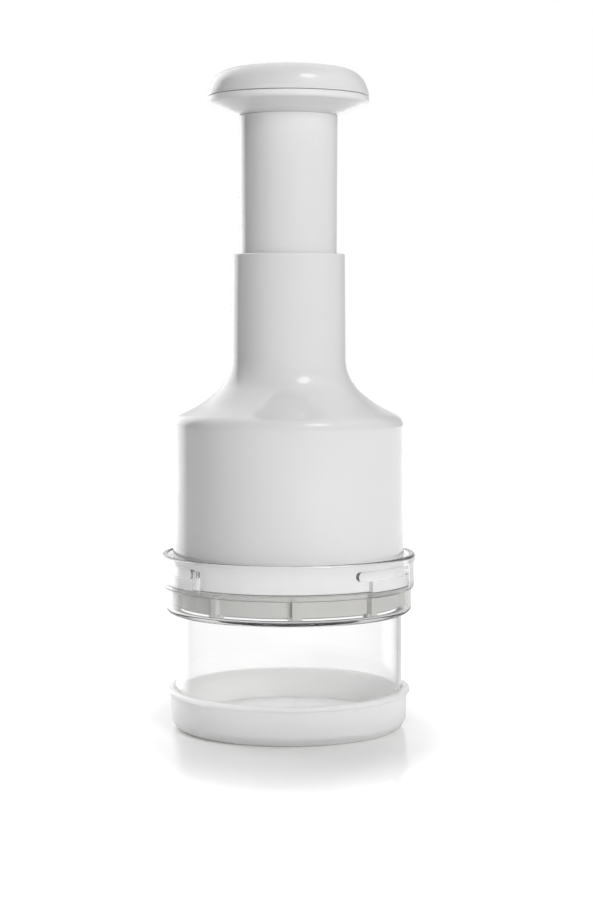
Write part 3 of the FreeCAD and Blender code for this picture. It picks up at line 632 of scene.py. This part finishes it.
def makeKnobBase():
    plugFoot, spigotTop = levels("knob_base")
    shaftTop = levels("plunger_tube")[1]
    parting = spigotTop - knob["spigotHeight"]
    radius = knob["radius"]
    plugRadius = shaft["topRadius"] - shaft["draft"] - shaft["wall"] - knob["plugGap"]
    plugBore = plugRadius - knob["plugWall"]
    seat = shaftTop + knob["plugGap"]
    spigot = radius - knob["wall"] - knob["spigotGap"]
    spigotBore = spigot - knob["plugWall"]
    flare = shaft["topRadius"] + knob["flareStep"]
    flareTop = shaftTop + knob["flareRise"]
    return lathe("knobUnderside", [
        (0, plugFoot, 0),
        (plugRadius, plugFoot, knob["plugRound"]),
        (plugRadius, seat, 0),
        (shaft["topRadius"], seat, 0),
        (flare, flareTop, knob["flareRound"]),
        (radius - knob["skirtInset"], parting - knob["skirtHeight"], knob["skirtRound"]),
        (radius, parting, -knob["edge"]),
        (spigot, parting, 0),
        (spigot, spigotTop, -knob["spigotEdge"]),
        (spigotBore, spigotTop, -knob["spigotEdge"]),
        (spigotBore, parting - knob["spigotRoot"], 0),
        (flare - knob["hollowInset"], flareTop + knob["hollowLift"], 0),
        (plugBore, shaftTop + knob["neckLift"], 0),
        (plugBore, plugFoot + knob["plugFloor"], 0),
        (0, plugFoot + knob["plugFloor"], 0),
    ], stepAngle=3.0)


def makeShaft():
    foot, top = levels("plunger_tube")
    footRadius = shaft["topRadius"] - shaft["draft"]
    bore = footRadius - shaft["wall"]
    web = foot + shaft["webLift"]
    webTop = web + shaft["webThickness"]
    seat = top - shaft["seatDrop"]
    seatTop = seat + shaft["seatThickness"]
    tube = lathe("plungerShaft", [
        (footRadius, foot, -shaft["edge"]),
        (shaft["topRadius"], top, -shaft["topEdge"]),
        (bore, top, -shaft["topEdge"]),
        (bore, seatTop, 0),
        (shaft["seatBore"], seatTop, 0),
        (shaft["seatBore"], seat, 0),
        (bore, seat, 0),
        (bore, webTop, shaft["webRound"]),
        (shaft["bushBore"], webTop, 0),
        (shaft["bushBore"], web, 0),
        (bore, web, shaft["webRound"]),
        (bore, foot, 0),
    ])
    bm = bmesh.new()
    arc = math.degrees(shaft["keyWidth"] / footRadius)
    size = (footRadius - shaft["keyRoot"], footRadius + shaft["keyReach"], foot, foot + shaft["keyHeight"])
    sectorInto(bm, size, shaft["keyStart"], arc, shaft["keySegments"])
    bevelled(bm, shaft["keyEdge"])
    return joined(tube, repeatedAround(newPiece("keys", bm), shaft["keyCount"], shaft["keyAngle"], whiteGloss))


placed(makeKnobCap(), "knob_cap", "plunger", whiteGloss)
knobUnderside = placed(makeKnobBase(), "knob_base", "plunger", whiteGloss)
placed(makeShaft(), "plunger_tube", "plunger", whiteGloss)
print("knob and shaft ready")


# Housing: bell, shoulder and neck

housing = {
    "radius": 43.6,
    "draft": 0.3,
    "wall": 2.2,
    "sideRound": 5.0,
    "slope": 26.45,
    "flareSlope": 45.0,
    "flareShare": 0.428,
    "flareReach": 0.49,     # how much of the flare each of its two rounds takes
    "neckRadius": 21.2,
    "neckDraft": 0.35,
    "neckHeight": 45.65,
    "neckBore": 18.63,
    "neckEdge": 0.6,
    "boreEdge": 0.3,
    "footEdge": 0.3,
    "tabArc": 30.0,
    "tabHeight": 3.85,
    "tabReach": 45.45,
    "tabEdge": 0.3,
    "tabSegments": 24,
}
bayonet = {
    "count": 3,
    "angle": 52.0,
    "arc": 38.0,
    "height": 3.4,
    "endRound": 0.46,       # as a share of the height
    "segments": 30,
    "belowLip": 3.3,
    "bore": 44.0,
    "stopArc": 2.4,
    "stopGap": 0.8,
    "stopDrop": 0.6,
    "stopSegments": 2,
    "tabGap": 0.5,
}


def offsetCorner(corner, before, after, offset):
    # corner of an outline moved to its left by an offset
    first = (corner - before).normalized()
    second = (after - corner).normalized()
    firstSide = Vector((-first.y, first.x))
    secondSide = Vector((-second.y, second.x))
    between = (firstSide + secondSide).normalized()
    return corner + between * (offset / between.dot(firstSide))


def makeHousing():
    foot, top = levels("housing_shell")
    topRadius = housing["radius"] - housing["draft"]
    neckRoot = housing["neckRadius"] + housing["neckDraft"]
    width = topRadius - neckRoot
    flareWidth = width * housing["flareShare"]
    slopeWidth = width - flareWidth
    neckFoot = top - housing["neckHeight"]
    flatFoot = neckFoot - flareWidth * math.tan(math.radians(housing["flareSlope"]))
    sideFoot = flatFoot - slopeWidth * math.tan(math.radians(housing["slope"]))
    side = Vector((topRadius, sideFoot))
    flat = Vector((topRadius - slopeWidth, flatFoot))
    neck = Vector((neckRoot, neckFoot))
    reach = housing["flareReach"] * (neck - flat).length
    flatRound = reach * math.tan((side - flat).angle(neck - flat) / 2)
    neckRound = reach * math.tan((flat - neck).angle(Vector((housing["neckRadius"], top)) - neck) / 2)
    wall = housing["wall"]
    innerSide = offsetCorner(side, Vector((topRadius, foot)), flat, wall)
    innerFlat = offsetCorner(flat, side, neck, wall)
    innerNeck = innerFlat + (neck - flat) * ((innerFlat.x - housing["neckBore"]) / flareWidth)
    shell = lathe("bellHousing", [
        (housing["radius"] - wall, foot, 0),
        (housing["radius"], foot, housing["footEdge"]),
        (side.x, side.y, housing["sideRound"]),
        (flat.x, flat.y, flatRound),
        (neck.x, neck.y, neckRound),
        (housing["neckRadius"], top, housing["neckEdge"]),
        (housing["neckBore"], top, housing["boreEdge"]),
        (innerNeck.x, innerNeck.y, 0),
        (innerFlat.x, innerFlat.y, flatRound / 2),
        (innerSide.x, innerSide.y, housing["sideRound"] - wall),
    ], segments=meshing["fineSegments"], stepAngle=2.0)
    stopFoot = bayonet["angle"] + bayonet["arc"] / 2 + bayonet["stopGap"]
    bm = bmesh.new()
    tabSize = (housing["radius"] - wall / 2, housing["tabReach"], foot, foot + housing["tabHeight"])
    tabAngle = stopFoot - bayonet["tabGap"] - housing["tabArc"] / 2
    sectorInto(bm, tabSize, tabAngle, housing["tabArc"], housing["tabSegments"])
    bevelled(bm, housing["tabEdge"])
    return joined(shell, repeatedAround(newPiece("tabs", bm), bayonet["count"], 0, whiteGloss))


placed(makeHousing(), "housing_shell", "housing", whiteGloss)
print("housing ready")


# Clear cup with rings, lip, lugs and stops

cup = {
    "radius": 42.75,
    "draft": 0.1,
    "wall": 1.8,
    "shelf": 1.8,
    "shelfHeight": 43.8,
    "ledgeRound": 0.8,
    "lowerRing": 46.5,
    "lowerWall": 1.9,
    "lowerRound": 2.4,
    "ringStep": 9.4,
    "upperRing": 47.5,
    "upperWall": 1.75,
    "upperRound": 0.7,
    "lip": 47.85,
    "lipHeight": 2.5,
    "lipRound": 1.0,
    "lipEdge": 0.12,
    "edge": 0.4,
    "root": 0.4,            # how far lugs and stops reach into the wall
    "shelfRoot": 0.3,
    "shelfEdge": 0.35,
    "ringRoot": 0.25,
    "mouthRound": 0.5,
    "stepRound": 0.3,
    "hardAngle": 35,
}


def makeCup():
    foot, top = levels("clear_cup")
    shelf = cup["shelfHeight"]
    ledge = shelf + cup["shelf"]
    ringTop = shelf + cup["ringStep"]
    step = ringTop + cup["upperWall"]
    shelfRadius = cup["radius"] + cup["draft"]
    upperBore = cup["upperRing"] - cup["upperWall"]
    lowerBore = cup["lowerRing"] - cup["lowerWall"]
    body = lathe("clearCup", [
        (cup["radius"] - cup["wall"], foot, 0),
        (cup["radius"], foot, cup["edge"]),
        (shelfRadius, shelf, cup["shelfRoot"]),
        (cup["lowerRing"], shelf, cup["lowerRound"]),
        (cup["lowerRing"], ringTop, cup["ringRoot"]),
        (cup["upperRing"], ringTop, cup["upperRound"]),
        (cup["upperRing"], top - cup["lipHeight"], cup["lipEdge"]),
        (cup["lip"], top - cup["lipHeight"], cup["lipEdge"]),
        (cup["lip"], top, cup["lipRound"]),
        (upperBore, top, cup["mouthRound"]),
        (upperBore, step, cup["stepRound"]),
        (lowerBore, step, cup["stepRound"]),
        (lowerBore, ledge, cup["ledgeRound"]),
        (shelfRadius - cup["wall"], ledge, cup["shelfEdge"]),
    ], segments=meshing["fineSegments"], stepAngle=7.0)
    lugTop = top - bayonet["belowLip"]
    root = upperBore + cup["root"]
    bm = bmesh.new()
    lugSize = (bayonet["bore"], root, lugTop - bayonet["height"], lugTop)
    lugRound = bayonet["height"] * bayonet["endRound"]
    sectorInto(bm, lugSize, bayonet["angle"], bayonet["arc"], bayonet["segments"], lugRound)
    lugs = repeatedAround(newPiece("lugs", bm), bayonet["count"], 0, clearPlastic)
    bm = bmesh.new()
    middle = bayonet["angle"] + bayonet["arc"] / 2 + bayonet["stopGap"] + bayonet["stopArc"] / 2
    stopSize = (bayonet["bore"], root, step - cup["root"], lugTop - bayonet["stopDrop"])
    sectorInto(bm, stopSize, middle, bayonet["stopArc"], bayonet["stopSegments"])
    stops = repeatedAround(newPiece("stops", bm), bayonet["count"], 0, clearPlastic)
    body = merged(body, [lugs, stops])
    body.data.set_sharp_from_angle(angle=math.radians(cup["hardAngle"]))
    return body


placed(makeCup(), "clear_cup", "cup", clearPlastic)
print("cup ready")


# Base cap: shallow milky dish with the chopping board as its floor

cap = {
    "floor": 2.2,
    "wall": 1.6,
    "draft": 0.5,
    "corner": 4.6,
    "overhang": 1.1,
    "rimHeight": 2.2,
    "rimSlope": 0.5,
    "rimRoot": 0.3,
    "rimFootRound": 0.7,
    "rimTopRound": 0.8,
    "mouthRound": 0.5,
    "floorRoot": 0.3,
    "seatGap": 0.3,
    "board": 2.2,
    "boardMargin": 2.1,
    "boardEdge": 0.8,
    "boardRoot": 0.1,
    "boardRound": 0.2,
    "recess": 1.6,
    "recessSlope": 0.3,
    "recessRound": 0.3,
    "footWidth": 3.4,
    "footRound": 0.2,
    "markSide": 4.2,
    "markMargin": 2.2,
    "markRound": 2.6,
    "markDepth": 0.4,
    "markSegments": (64, 48),
}


def makeCap():
    foot, top = levels("base_cap")
    inner = cup["radius"] + cup["draft"] + cap["seatGap"]
    outer = inner + cap["wall"]
    rim = outer + cap["overhang"]
    rimFoot = top - cap["rimHeight"]
    boardRadius = cup["radius"] - cup["wall"] - cap["boardMargin"]
    boardTop = foot + cap["floor"] + cap["board"]
    recessRadius = outer - cap["draft"] - cap["corner"] - cap["footWidth"]
    dish = lathe("baseCap", [
        (0, foot + cap["recess"], 0),
        (recessRadius, foot + cap["recess"], cap["recessRound"]),
        (recessRadius + cap["recessSlope"], foot, cap["footRound"]),
        (outer - cap["draft"], foot, cap["corner"]),
        (outer, rimFoot, cap["rimRoot"]),
        (rim, rimFoot + cap["rimSlope"], cap["rimFootRound"]),
        (rim, top, cap["rimTopRound"]),
        (inner, top, cap["mouthRound"]),
        (inner, foot + cap["floor"], cap["floorRoot"]),
        (boardRadius + cap["boardEdge"], foot + cap["floor"], cap["boardRoot"]),
        (boardRadius, boardTop, cap["boardRound"]),
        (0, boardTop, 0),
    ])
    bm = bmesh.new()
    around, across = cap["markSegments"]
    bmesh.ops.create_uvsphere(bm, u_segments=around, v_segments=across, radius=cap["markRound"] * mm)
    markLevel = boardTop + cap["markRound"] - cap["markDepth"]
    middle = Vector((cap["markSide"], boardRadius - cap["markMargin"], markLevel)) * mm
    bmesh.ops.translate(bm, vec=middle, verts=bm.verts)
    return merged(dish, [newPiece("gateMark", bm)], "DIFFERENCE")


capPiece = placed(makeCap(), "base_cap", "base", milkyCap)
print("base cap ready")


# Return spring: a coil that follows a rule, so it is a tree

spring = {
    "wire": 1.5,
    "meanRadius": 13.9,
    "turns": 11.0,
    "closedPitch": 2.0,
    "closedTurns": 1.0,
    "seatGap": 0.1,
    "samples": 900,
    "sides": 14,
}


def coilTree():
    tree, sockets = newTree("springCoil", [
        ("Geometry", "NodeSocketGeometry"),
        ("Mean Radius", "NodeSocketFloat"),
        ("Wire Radius", "NodeSocketFloat"),
        ("Turns", "NodeSocketFloat"),
        ("Closed Turns", "NodeSocketFloat"),
        ("Closed Pitch", "NodeSocketFloat"),
        ("Foot", "NodeSocketFloat"),
        ("Top", "NodeSocketFloat"),
        ("Samples", "NodeSocketInt"),
        ("Sides", "NodeSocketInt"),
        ("Material", "NodeSocketMaterial"),
    ])
    kit = TreeKit(tree)
    given = kit.add("NodeGroupInput").outputs
    line = kit.add("GeometryNodeCurvePrimitiveLine")
    fine = kit.add("GeometryNodeResampleCurve", {"Curve": line.outputs[0], "Count": given["Samples"]})
    factor = kit.add("GeometryNodeSplineParameter").outputs["Factor"]
    turn = kit.math("MULTIPLY", factor, given["Turns"])
    angle = kit.math("MULTIPLY", turn, 2 * math.pi)
    x = kit.math("MULTIPLY", kit.math("COSINE", angle), given["Mean Radius"])
    y = kit.math("MULTIPLY", kit.math("SINE", angle), given["Mean Radius"])
    closedEnds = kit.math("MULTIPLY", given["Closed Turns"], 2.0)
    closedRise = kit.math("MULTIPLY", closedEnds, given["Closed Pitch"])
    height = kit.math("SUBTRACT", given["Top"], given["Foot"])
    openRise = kit.math("SUBTRACT", height, closedRise)
    openTurns = kit.math("SUBTRACT", given["Turns"], closedEnds)
    openPitch = kit.math("DIVIDE", openRise, openTurns)
    low = kit.math("MINIMUM", turn, given["Closed Turns"])
    beyond = kit.math("MAXIMUM", kit.math("SUBTRACT", turn, given["Closed Turns"]), 0.0)
    openPart = kit.math("MINIMUM", beyond, openTurns)
    high = kit.math("SUBTRACT", beyond, openPart)
    closedPart = kit.math("MULTIPLY", kit.math("ADD", low, high), given["Closed Pitch"])
    rise = kit.math("ADD", closedPart, kit.math("MULTIPLY", openPart, openPitch))
    z = kit.math("ADD", rise, given["Foot"])
    spot = kit.add("ShaderNodeCombineXYZ", {"X": x, "Y": y, "Z": z})
    coil = kit.add("GeometryNodeSetPosition", {"Geometry": fine.outputs[0], "Position": spot.outputs[0]})
    section = kit.add("GeometryNodeCurvePrimitiveCircle", {
        "Resolution": given["Sides"],
        "Radius": given["Wire Radius"],
    })
    wire = kit.add("GeometryNodeCurveToMesh", {
        "Curve": coil.outputs[0],
        "Profile Curve": section.outputs[0],
        "Fill Caps": True,
    })
    kit.finish(wire.outputs[0], given["Material"])
    return tree, sockets


def makeSpring():
    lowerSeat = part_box("lower_spring_washer")[1].z
    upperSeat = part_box("upper_spring_washer")[0].z
    inset = (spring["wire"] / 2 + spring["seatGap"]) * mm
    tree, sockets = coilTree()
    coil = newPiece("returnSpring", bmesh.new())
    evaluated(coil, tree, sockets, {
        "Mean Radius": spring["meanRadius"] * mm,
        "Wire Radius": spring["wire"] / 2 * mm,
        "Turns": spring["turns"],
        "Closed Turns": spring["closedTurns"],
        "Closed Pitch": spring["closedPitch"] * mm,
        "Foot": lowerSeat + inset,
        "Top": upperSeat - inset,
        "Samples": spring["samples"],
        "Sides": spring["sides"],
        "Material": springSteel,
    })
    coil.data.shade_smooth()
    return coil, lowerSeat, upperSeat


coil, lowerSeat, upperSeat = makeSpring()
placed(coil, "return_spring", "housing", springSteel)
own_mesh(coil)
print("spring ready")


# Finishes of the CAD nodes that stay

cadFinishes = {
    "guide_sleeve": whiteInner,
    "mechanism_plate": whiteInner,
    "blade_stem": whiteInner,
    "drive_nut": bearingPlastic,
    "ratchet_ring": bearingPlastic,
    "spindle_bush": bearingPlastic,
    "thrust_washer": bearingPlastic,
    # the wiper's finish carries painted shade as well as its own grey
    "wiper_disc": wiperGreyAndPaintedShade,
    "plate_screws": zincSteel,
    "knob_screws": zincSteel,
    "spindle_screw": zincSteel,
    "spindle_washer": zincSteel,
    "lower_spring_washer": zincSteel,
    "upper_spring_washer": zincSteel,
    "stem_pin": zincSteel,
    "nut_spring": springSteel,
    "spindle": spindleSteel,
    "zigzag_blade": bladeSteel,
    "blade_rivets": bladeSteel,
}
for nodeName, finish in cadFinishes.items():
    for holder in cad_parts[nodeName].material_slots:
        holder.material = finish
print("CAD finishes ready")


# Light: lamps for the surfaces, and a white room for what gloss and clear plastic show

studio = {
    "aim": (0.0, 0.0, 0.12),
    "ambient": 0.06,
    "ambientClear": 1.2,                        # the same for light that comes in through the cup
    "ceiling": (0.45, 0.75, 0.0, 1.0),          # a ray's rise where the walls turn into the ceiling
    "matt": 0.5,                                # a ray with a diffuse depth over this has met a matt surface
}
window = {                                      # small and bright, seen in gloss only
    "angle": 38,
    "elevation": 52,
    "soft": 12.0,
    "full": 7.0,
    "level": 6.0,
}
# brightness of the white room, in degrees from the front towards +X
glossRoom = [
    (-180, 1.06), (-169, 1.1), (-160, 2.3), (-142, 2.8), (-128, 2.2), (-121, 0.5), (-97, 1.15),
    (-67, 1.7), (-37, 1.7), (-15, 1.3), (8, 0.7), (30, 0.15), (85, 0.0),
    (112, 0.35), (142, 0.4), (158, 0.6), (170, 1.0), (180, 1.06),
]
glossCeiling = [(-180, 1.65), (-120, 2.0), (-60, 1.4), (0, 1.15), (60, 1.45), (120, 1.25), (180, 1.65)]
clearRoom = [(-180, 1.0), (-150, 0.85), (-60, 1.0), (0, 1.0), (60, 0.8), (140, 0.5), (165, 1.0), (180, 1.0)]

sideLamp = {"elevation": 10, "distance": 1.5, "size": (0.8, 1.6)}
highLamp = {"elevation": 50, "distance": 1.5, "size": (0.9, 0.9)}
tableLamp = {"elevation": 5, "distance": 1.5, "size": (1.2, 0.8), "only": capPiece}
lamps = {
    "keyRight": sideLamp | {"angle": 30, "power": 24.3},
    "backLeft": sideLamp | {"angle": -140, "power": 7.8},
    "highLeft": highLamp | {"angle": -120, "power": 6.6},
    "highRight": highLamp | {"angle": 120, "power": 3.4},
    # the white table lights a milky cap and the knob from below, so these pieces have lamps of their own
    "tableLeft": tableLamp | {"angle": -80, "power": 11.0},
    "tableRight": tableLamp | {"angle": 80, "power": 3.6},
    "tableBehind": tableLamp | {"angle": 180, "power": 9.0},
    "insideCup": {
        "place": (0, 0, 0.040),
        "toward": (0, 0, 0),
        "size": (0.06, 0.06),
        "power": 0.014,
        "only": capPiece,
    },
    "tableUnderKnob": {
        "place": (-0.1, -0.5, 0.06),
        "toward": (0, 0, 0.24),
        "size": (0.5, 0.5),
        "power": 0.4,
        "only": knobUnderside,
    },
}


def wayFromAim(angle, elevation):
    # an angle from the front towards +X and a height above the horizon, both in degrees
    turn = math.radians(angle)
    rise = math.radians(elevation)
    return Vector((math.sin(turn) * math.cos(rise), -math.cos(turn) * math.cos(rise), math.sin(rise)))


def addLamps():
    aim = Vector(studio["aim"])
    for name, lamp in lamps.items():
        data = bpy.data.lights.new(name, "AREA")
        data.shape = "RECTANGLE"
        data.size, data.size_y = lamp["size"]
        data.energy = lamp["power"]
        light = newObject(name, data)
        if "place" in lamp:
            light.location = lamp["place"]
        else:
            light.location = aim + wayFromAim(lamp["angle"], lamp["elevation"]) * lamp["distance"]
        toward = Vector(lamp.get("toward", aim))
        light.rotation_euler = (toward - light.location).to_track_quat("-Z", "Y").to_euler()
        light.visible_camera = False
        light.visible_glossy = False
        light.visible_transmission = False
        if "only" in lamp:
            lit = bpy.data.collections.new(name)
            lit.objects.link(lamp["only"])
            light.light_linking.receiver_collection = lit


def roomLevel(kit, share, room):
    # brightness round the walls, as a ramp over the way a ray goes
    ramp = kit.add("ShaderNodeValToRGB", {0: share})
    stops = ramp.color_ramp.elements
    while len(stops) < len(room):
        stops.new(0.5)
    brightest = max(level for _, level in room)
    for stop, (degrees, level) in zip(stops, room):
        stop.position = degrees / 360 + 0.5
        stop.color = (level / brightest, level / brightest, level / brightest, 1)
    return kit.math("MULTIPLY", ramp.outputs[0], brightest)


def raysOf(kit):
    # whether a ray is the camera's, mirrored or through clear plastic, and how many matt surfaces it has met
    path = kit.add("ShaderNodeLightPath").outputs
    through = path["Is Transmission Ray"]
    # a ray through clear plastic counts as glossy too, so it is taken out
    mirrored = kit.math("MULTIPLY", path["Is Glossy Ray"], kit.math("SUBTRACT", 1.0, through))
    return path["Is Camera Ray"], mirrored, through, path["Diffuse Depth"]


def addWorld():
    # white for the camera, the room's own levels in gloss and through clear plastic, a soft level otherwise
    world = bpy.data.worlds.new("studio")
    world.use_nodes = True
    bpy.context.scene.world = world
    kit = TreeKit(world.node_tree)
    direct, mirrored, through, depth = raysOf(kit)
    way = kit.add("ShaderNodeTexCoord").outputs["Generated"]
    along = kit.add("ShaderNodeSeparateXYZ", {0: way}).outputs
    turn = kit.math("ARCTAN2", along["X"], kit.math("MULTIPLY", along["Y"], -1.0))
    share = kit.math("ADD", kit.math("DIVIDE", turn, 2 * math.pi), 0.5)
    overhead = kit.ranged(along["Z"], studio["ceiling"])
    room = kit.mixed(overhead, roomLevel(kit, share, glossRoom), roomLevel(kit, share, glossCeiling))
    toward = wayFromAim(window["angle"], window["elevation"])
    facing = kit.add("ShaderNodeVectorMath", {0: way, 1: toward}, operation="DOT_PRODUCT").outputs["Value"]
    soft, full = (math.cos(math.radians(window[label])) for label in ("soft", "full"))
    room = kit.math("MAXIMUM", room, kit.ranged(facing, (soft, full, 0.0, window["level"])))
    gloss = kit.math("MULTIPLY", room, mirrored)
    clearLevel = kit.math("MULTIPLY", roomLevel(kit, share, clearRoom), through)
    seen = kit.math("MAXIMUM", kit.math("MAXIMUM", gloss, clearLevel), direct)
    seen = kit.math("MULTIPLY", seen, kit.math("LESS_THAN", depth, studio["matt"]))
    ambient = kit.mixed(through, studio["ambient"], studio["ambientClear"])
    ambient = kit.math("MULTIPLY", kit.math("GREATER_THAN", depth, studio["matt"]), ambient)
    kit.feed(world.node_tree.nodes["Background"], {
        "Color": (1, 1, 1, 1),
        "Strength": kit.math("MAXIMUM", seen, ambient),
    })


# Floor: pale, and lit by itself further out so that it meets the white room; nearer in its own light is low, a
# painted shade round the object

floor = {
    "size": 8.0,
    "tone": (0.90, 0.90, 0.90, 1),
    "paintedToneThrough": (0.1, 0.1, 0.1, 1),      # a painted darker tone where the floor is seen through clear plastic, where its own light does the rest
    "roughness": 0.10,
    "glow": (0.07, 0.2, 0.11, 1.0),         # from and to this far out, from and to this level; the low level near the object is a painted shade
    # the same painted shade round the object, as the floor is seen in gloss
    "glowMirrored": (0.2, 1.2, 0.2, 1.0),
    # through clear plastic the floor's own light is about half: painted shade seen through the cup
    "glowThrough": 0.52,
    "paintedShadeSideways": 2.0,                        # the painted shade in front of the object is longer than at its sides
    "stripSpread": 0.13,                    # how the white strip behind the object widens with distance
    "stripNear": 0.045,
    "stripFar": 0.10,
    # levels of the painted dark cards beside the white strip, which stand in for shade
    "paintedCardLeft": 0.85,
    "paintedCardRight": 0.7,
}


def stripAndPaintedCards(kit, place):
    # through clear plastic only a strip behind the object is white, with painted dark cards beside it that stand
    # in for shade
    spot = kit.add("ShaderNodeSeparateXYZ", {0: place}).outputs
    spread = kit.math("MULTIPLY", kit.math("ABSOLUTE", spot["Y"]), floor["stripSpread"])
    beside = kit.math("SUBTRACT", kit.math("ABSOLUTE", spot["X"]), spread)
    dark = kit.mixed(kit.math("GREATER_THAN", spot["X"], 0.0), floor["paintedCardLeft"], floor["paintedCardRight"])
    return kit.ranged(beside, (floor["stripNear"], floor["stripFar"], 1.0, dark), "SMOOTHSTEP")


def addFloor():
    bm = bmesh.new()
    half = floor["size"] / 2
    corners = ((-half, -half), (half, -half), (half, half), (-half, half))
    bm.faces.new([bm.verts.new((x, y, 0)) for x, y in corners])
    ground = newPiece("floor", bm)
    material, kit, shader = principled("paleFloor", {
        "Roughness": floor["roughness"],
        "Emission Color": (1, 1, 1, 1),
    })
    direct, mirrored, through, depth = raysOf(kit)
    early = kit.math("LESS_THAN", depth, studio["matt"])
    place = kit.add("ShaderNodeTexCoord").outputs["Object"]
    squeezed = kit.add("ShaderNodeVectorMath", {0: place, 1: (floor["paintedShadeSideways"], 1, 1)}, operation="MULTIPLY")
    away = kit.add("ShaderNodeVectorMath", {0: squeezed.outputs[0]}, operation="LENGTH").outputs["Value"]
    # low near the object and full further out: a painted shade round the object
    shown = kit.math("MULTIPLY", direct, kit.ranged(away, floor["glow"], "SMOOTHSTEP"))
    mirror = kit.math("MULTIPLY", mirrored, kit.ranged(away, floor["glowMirrored"], "SMOOTHSTEP"))
    clearLevel = kit.math("MULTIPLY", through, kit.math("MULTIPLY", stripAndPaintedCards(kit, place), floor["glowThrough"]))
    level = kit.math("MAXIMUM", kit.math("MAXIMUM", shown, mirror), clearLevel)
    clearShare = kit.math("MULTIPLY", through, early)
    # the floor's base tone is painted darker where it is seen through clear plastic
    tones = {0: clearShare, 6: floor["tone"], 7: floor["paintedToneThrough"]}
    kit.feed(shader, {
        "Base Color": kit.add("ShaderNodeMix", tones, data_type="RGBA").outputs[2],
        "Emission Strength": kit.math("MULTIPLY", level, early),
    })
    paint(ground, material)


# Camera

camera = {
    "distance": 0.7646,
    "height": 0.1532,
    "tilt": 3.643,
    "yaw": 0.225,
    "lens": 81.35,
    "sensor": 36.0,
}


def addCamera():
    data = bpy.data.cameras.new("camera")
    data.lens = camera["lens"]
    data.sensor_width = camera["sensor"]
    eye = newObject("camera", data)
    eye.location = (0, -camera["distance"], camera["height"])
    eye.rotation_euler = (math.radians(90 - camera["tilt"]), 0, -math.radians(camera["yaw"]))
    bpy.context.scene.camera = eye


addLamps()
addWorld()
addFloor()
addCamera()
bpy.context.scene.view_settings.view_transform = "Standard"
print("studio ready")
